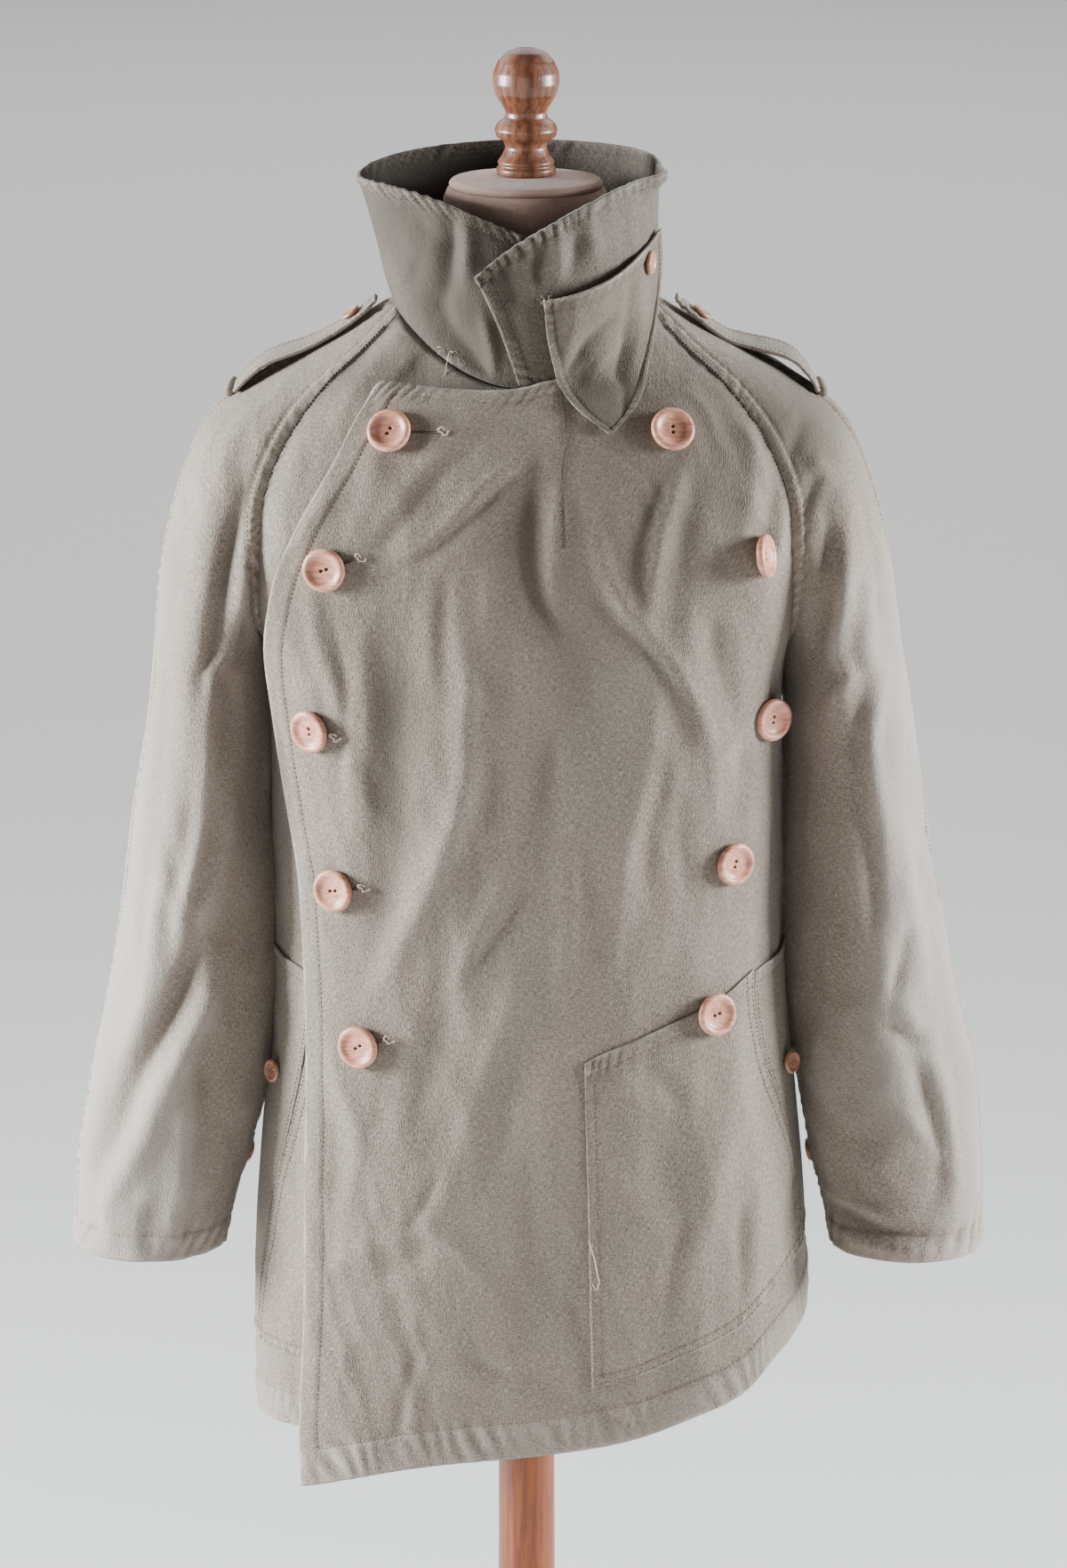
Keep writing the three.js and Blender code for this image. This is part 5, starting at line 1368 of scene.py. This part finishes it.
def button_finish(name, pale, dark, seed):
    """Pale fruitwood with fine grain across it, warmer in the rings, and near black in the pits of the
    holes, painted shade for the dark inside them.
    """
    f = Finish(name, Coat_Weight=0.35, Coat_Roughness=0.3)
    place = f.place()
    turn = (0.2 * seed, 0.9, 0.4 + seed)
    grain = f.noise(place, 0.0016, (9, 1, 1), detail=5, turn=turn)
    rings = f.noise(place, 0.005, (4, 1, 1), detail=3, turn=turn)
    pit_and_shade = f.field("pit_and_shade")
    colour = f.mix(f.step(grain, 0.35, 0.66), dark, pale)
    colour = f.mix(f.step(rings, 0.4, 0.62) * 0.55, colour, tuple(0.7 * c for c in dark))
    # Near black in the holes' pits: painted shade.
    colour = f.mix(pit_and_shade, colour, (0.02, 0.012, 0.01))
    return f.wear(Base_Color=colour, Roughness=grain * 0.25 + 0.3, Normal=f.bump(grain, 0.00025))


LARGE = (
    (0, 0), (12.6, 0), (14.6, 1.6), (15, 3.2), (14.6, 4.8), (13.6, 5.8), (12.2, 6.1), (10.8, 5.6),
    (9.6, 4.5), (8.4, 3.8), (6, 3.4), (0, 3.2),
)
SMALL = ((0, 0), (7.2, 0), (8.5, 1.6), (7.6, 3.3), (6.1, 3.5), (5.2, 2.5), (0, 2.3))


def button(node, finish, point, out, profile, holes, bore, spin=0, lean=0, size=1.0):
    """Spins the profile round its own axis, sinks a pit at each hole, and sets it down on the cloth
    with its axis along the direction out of it, tipped by lean about the upright."""
    profile = np.array(profile, float)
    runs = np.linalg.norm(np.diff(profile, axis=0), axis=1)
    along = np.concatenate([[0], np.cumsum(runs)])
    steps = np.linspace(0, along[-1], int(along[-1] / (0.55 if profile[1, 0] > 10 else 0.4)))
    line = np.stack([np.interp(steps, along, profile[:, i]) for i in (0, 1)], -1)
    for _ in range(4):
        line[1:-1] = (line[:-2] + 2 * line[1:-1] + line[2:]) / 4
    line[[0, -1], 0] = 0
    angle = np.linspace(0, 2 * np.pi, 61)[:-1]
    x, y = line[:, :1] * np.cos(angle), line[:, :1] * np.sin(angle)
    z = line[:, 1:] + 0 * angle
    pit_and_shade = np.zeros(x.shape)
    top = (np.arange(len(line)) > len(line) // 2)[:, None]
    turn = np.radians(spin)
    for hx, hy in holes:
        cx, cy = hx * np.cos(turn) - hy * np.sin(turn), hx * np.sin(turn) + hy * np.cos(turn)
        inside = 1 - smooth(np.hypot(x - cx, y - cy), bore - 0.25, bore + 0.2)
        pit_and_shade = np.maximum(pit_and_shade, inside * top)
    z = z - 1.9 * pit_and_shade * (profile[-1, 1] / 3.2)
    tip = np.radians(lean)
    x, z = x * np.cos(tip) + z * np.sin(tip), z * np.cos(tip) - x * np.sin(tip)
    across = unit(np.cross([0, 0, 1.0], out))
    up = np.cross(out, across)
    shape = point + size * (x[..., None] * across + y[..., None] * up + z[..., None] * out)
    piece = put_mesh(node + "_wood", shape, grid_faces(*x.shape, True), finish)
    # The pits' mask, which the finish paints in shade.
    kept = piece.data.attributes.new("pit_and_shade", "FLOAT", "POINT")
    kept.data.foreach_set("value", pit_and_shade.ravel())
    return fit(close_up(piece), "button_wood", node)


TWO_HOLES = ((-2, 0), (2, 0))
FOUR_HOLES = ((-1.4, 0), (1.4, 0), (0, -1.4), (0, 1.4))
PALE, TAN = (0.8, 0.4, 0.29), (0.6, 0.24, 0.155)
LARGE_BUTTONS = [  # side and level on the left front, spin, lift and lean
    ("right_1", -0.416, 1.815, 65, 0, 0),
    ("right_2", -0.532, 1.39, 20, 0, 0),
    ("right_3", -0.58, 0.938, 90, 0, 0),
    ("right_4", -0.516, 0.743, 10, 0, 0),
    ("right_5", -0.436, 0.552, 35, 0, 0),
    ("left_1", 0.455, 1.813, 85, 0, 0),
    ("left_2", 0.646, 1.414, 80, 3.4, 33),
    ("left_3", 0.725, 0.926, 80, 1.6, -22),
    ("left_4", 0.559, 0.74, 75, 0, 0),
    ("left_5", 0.479, 0.545, 15, 2.1, 0),
]
for number, (name, side, level, spin, lift, lean) in enumerate(LARGE_BUTTONS):
    point, out = over_front(([side], [level]))
    wood = button_finish(f"button_wood_{name}", PALE, TAN, number)
    place = point[0] + out[0] * (0.9 + 0.4 + lift)
    button(f"button_{name}", wood, place, out[0], LARGE, TWO_HOLES, 1.1, spin, lean)

pocket_button_places = {}
small_wood = button_finish("small_button_wood", (0.60, 0.31, 0.21), (0.42, 0.18, 0.11), 3)


def small_button(node, place, out, **more):
    """A four-hole button at a place, facing out."""
    button(node, small_wood, place, out, SMALL, FOUR_HOLES, 0.7, **more)


for hand, sign in (("left", 1), ("right", -1)):
    if hand == "left":
        point, out = over_front(([0.827], [0.392]))
    else:
        point, out = under.at(np.array([-0.822]), np.array([0.46]))
    set_down = point[0] + out[0] * 3.4
    pocket_button_places[hand] = set_down, out[0]
    small_button(f"{hand}_pocket_button", set_down + 1.2 * out[0], out[0], lean=-20 * sign)
    strap_surface = strap_cut(hand)
    a, b = np.array(0.0), np.array(0.17)
    out = outward(strap_surface, a, b)
    small_button(f"{hand}_epaulette_button", strap_surface(a, b) + out * 1.6, out, size=0.85)
    level = 1 + (ARMPIT_Z - 857) / (ARMPIT_Z - CUFF_Z)
    point, out = sleeves[hand, "back"].at(np.array([-0.92 * sign]), np.array([level]))
    small_button(f"{hand}_cuff_button", point[0] + out[0] * 3.4, out[0])
point, out = flap.at(np.array([0.84]), np.array([0.88]))
small_button("throat_button", point[0] + out[0] * 1.2, out[0])

# ---- Buttonholes and loose thread ------------------------------------------------------------
# Each button of the outer row goes through a hole worked with pale thread, whose end shows beside
# the button with a knot and frayed tails. Where a seam has been mended, thread ends hang loose.
BUTTONHOLES = [(35, 2), (25, 20), (19, -8), (22, 10), (22, 18)]  # reach and slant of each
for (name, side, level, *_), (reach, slant) in zip(LARGE_BUTTONS, BUTTONHOLES):
    point, out = over_front(([side], [level]))
    across = unit(np.cross([0, 0, 1.0], out[0]))
    up = np.cross(out[0], across)
    tilt = np.radians(slant)
    across, up = across * np.cos(tilt) + up * np.sin(tilt), up * np.cos(tilt) - across * np.sin(tilt)
    turn = np.linspace(0, 2 * np.pi, 81)[:-1]
    half = (reach + 6) / 2
    slit = np.stack([half - 6 + (half - 1) * np.cos(turn), 0.3 * np.sin(turn)], -1)
    rim = np.stack([half - 6 + half * np.cos(turn), 1.3 * np.sin(turn)], -1)
    lay = lambda flat: point[0] + flat[:, :1] * across + flat[:, 1:] * up + out[0] * 1.1
    outs = np.repeat(out, len(turn), 0)
    worked = spindles(f"buttonhole_{name}", khaki_thread, lay(slit), lay(rim), outs, 1.1, sag=0.1)
    fit(worked, "canvas")
    # A near black cord in each slit: painted shadow in the open buttonhole.
    gap = lay(np.stack([np.linspace(-4, reach - 1, 12), np.zeros(12)], -1)) + out[0] * 0.3
    fit(cord_mesh(f"buttonhole_shadow_{name}", seam_shadow, gap, 0.6, 6), "canvas")


def thread_end(name, finish, start, steps, out, radius, seed):
    """A loose end of thread: a smooth wandering line from its start through the steps, a little off
    the cloth."""
    draw = np.random.default_rng(seed)
    knots = np.cumsum(np.vstack([start, np.array(steps, float)]), axis=0)
    place = np.linspace(0, len(knots) - 1, 10 * (len(knots) - 1) + 1)
    line = np.stack([np.interp(place, np.arange(len(knots)), knots[:, i]) for i in range(3)], -1)
    for _ in range(12):
        line[1:-1] = (line[:-2] + 2 * line[1:-1] + line[2:]) / 4
    bow = np.sin(np.linspace(0, 3 * np.pi, len(line)) + draw.uniform(0, 6))[:, None]
    line = line + 0.5 * bow * np.cross(unit(np.gradient(line, axis=0)), out) + 0.4 * out
    return fit(cord_mesh(name, finish, line, radius, 6), "canvas")


KNOT_TAILS = ((-3, 0, 2), (3, 0, 1.5), (2, 0, -2)), ((1, 0, -2), (3, 0, 0.5), (1, 0, 2))
for number, ((name, side, level, *_), (reach, slant)) in enumerate(zip(LARGE_BUTTONS, BUTTONHOLES)):
    point, out = over_front(([side], [level]))
    across = unit(np.cross([0, 0, 1.0], out[0]))
    tip = point[0] + reach * (across * np.cos(np.radians(slant)) + [0, 0, np.sin(np.radians(slant))])
    for tail, steps in enumerate(KNOT_TAILS):
        end = f"buttonhole_{name}_end_{tail + 1}"
        thread_end(end, pale_thread, tip + out[0] * 1.5, steps, out[0], 0.55, 10 * number + tail)
point, out = patch_front.at(np.array([0.0]), np.array([0.47]))
seam_end = ((3, -0.5, -13), (2, -0.5, -9), (3, 0, -8), (-3, 0.5, -7), (-2, 0.5, 5))
thread_end("left_patch_pocket_thread", pale_thread, point[0] + out[0], seam_end, out[0], 0.35, 70)
for hand, x in (("left", -6), ("right", 7)):
    point, out = pocket_button_places[hand]
    for tail in range(2):
        steps = (0.6 * x, -1, -4), (0.5 * x - 2 * tail, 0, 2 * tail - 3.2), (x / 3, 0, 2 - 3 * tail)
        end = f"{hand}_pocket_button_thread_{tail + 1}"
        thread_end(end, pale_thread, point + out * 1.5, steps, out, 0.35, 80 + tail)
COLLAR_FRAY = {  # angle round the neck towards the wearer's right, then the thread's steps
    142.8: ((2, -1, -1), (3, 0, 1), (1, 0, -2)),
    145.5: ((-2, -1, -1), (-2, 0, -2)),
    148.2: ((2, -1, 1), (3, 0, -1)),
}
for tail, (angle, steps) in enumerate(COLLAR_FRAY.items()):
    point, out = collar.at(np.array([angle]), np.array([0.06]))
    start = point[0] + 1.5 * out[0]
    thread_end(f"collar_fray_{tail + 1}", pale_thread, start, steps, out[0], 0.3, 60 + tail)
# The throat button's old thread, the longest, hangs from the last of these frayed places.
long_end = ((-3, -2, -8), (-1, -3, -14), (0.5, -3, -12), (1, -2, -9))
thread_end("throat_button_thread", pale_thread, point[0] + out[0] * 2, long_end, out[0], 0.3, 90)
point, out = flap.at(np.array([0.02]), np.array([0.985]))
TAB_FRAY = ((-2, -1, 2), (-1, 0, 3)), ((1, -1, 3), (2, 0, 2)), ((-2, -1, -1), (-2, 0, 1))
for tail, steps in enumerate(TAB_FRAY):
    thread_end(f"throat_tab_fray_{tail + 1}", khaki_thread, point[0], steps, out[0], 0.4, 95 + tail)

# ---- Studio ----------------------------------------------------------------------------------
# A plain pale floor, a large soft light on each side with the left one stronger, a weak one in
# front and one over the far floor.


def plain_finish(name, colour):
    """A matt paint of one colour."""
    return Finish(name, Roughness=0.95, Specular_IOR_Level=0.1, Base_Color=colour).material


floor_points = np.array([[-30, -30, -0.001], [30, -30, -0.001], [30, 30, -0.001], [-30, 30, -0.001]]) / MM
floor = put_mesh("floor", floor_points, [(0, 1, 2, 3)], plain_finish("floor_paint", (0.72, 0.72, 0.71)))


def soft_light(name, place, aim, size, power, colour):
    """A square area light at a place, turned to face its aim."""
    light = bpy.data.lights.new(name, "AREA")
    light.size, light.energy, light.color = size, power, colour
    lamp = bpy.data.objects.new(name, light)
    bpy.context.collection.objects.link(lamp)
    lamp.location = place
    back = unit(np.array(place, float) - np.array(aim, float))
    side = unit(np.cross([0, 0.001, 1.0], back))
    up = np.cross(back, side)
    turned_to = Matrix(np.stack([side, up, back], 1).tolist())
    lamp.rotation_euler = turned_to.to_euler()


soft_light("left_window", (-2.8, -0.3, 1.7), (0, 0, 1.1), 1.0, 330, (0.92, 0.97, 1.0))
soft_light("right_window", (2.8, -0.15, 1.7), (0, 0, 1.1), 1.0, 225, (0.92, 0.97, 1.0))
soft_light("front_fill", (-0.5, -4.6, 0.9), (0, 0, 0.9), 2.4, 36, (1.0, 0.93, 0.88))
soft_light("floor_light", (0, 9, 6), (0, 9, 0), 14, 1000, (1, 1, 1))
world = bpy.data.worlds.new("pale_room")
bpy.context.scene.world = world
world.use_nodes = True
world.node_tree.nodes["Background"].inputs["Color"].default_value = (0.79, 0.79, 0.79, 1)
world.node_tree.nodes["Background"].inputs["Strength"].default_value = 0.14

eye = bpy.data.cameras.new("camera")
eye.lens, eye.sensor_width = 115.27, 36
camera = bpy.data.objects.new("camera", eye)
bpy.context.collection.objects.link(camera)
camera.location = (0.005, -3.3727, 2.0553)
camera.rotation_euler = (np.radians(90 - 15.5), 0, 0)
bpy.context.scene.camera = camera
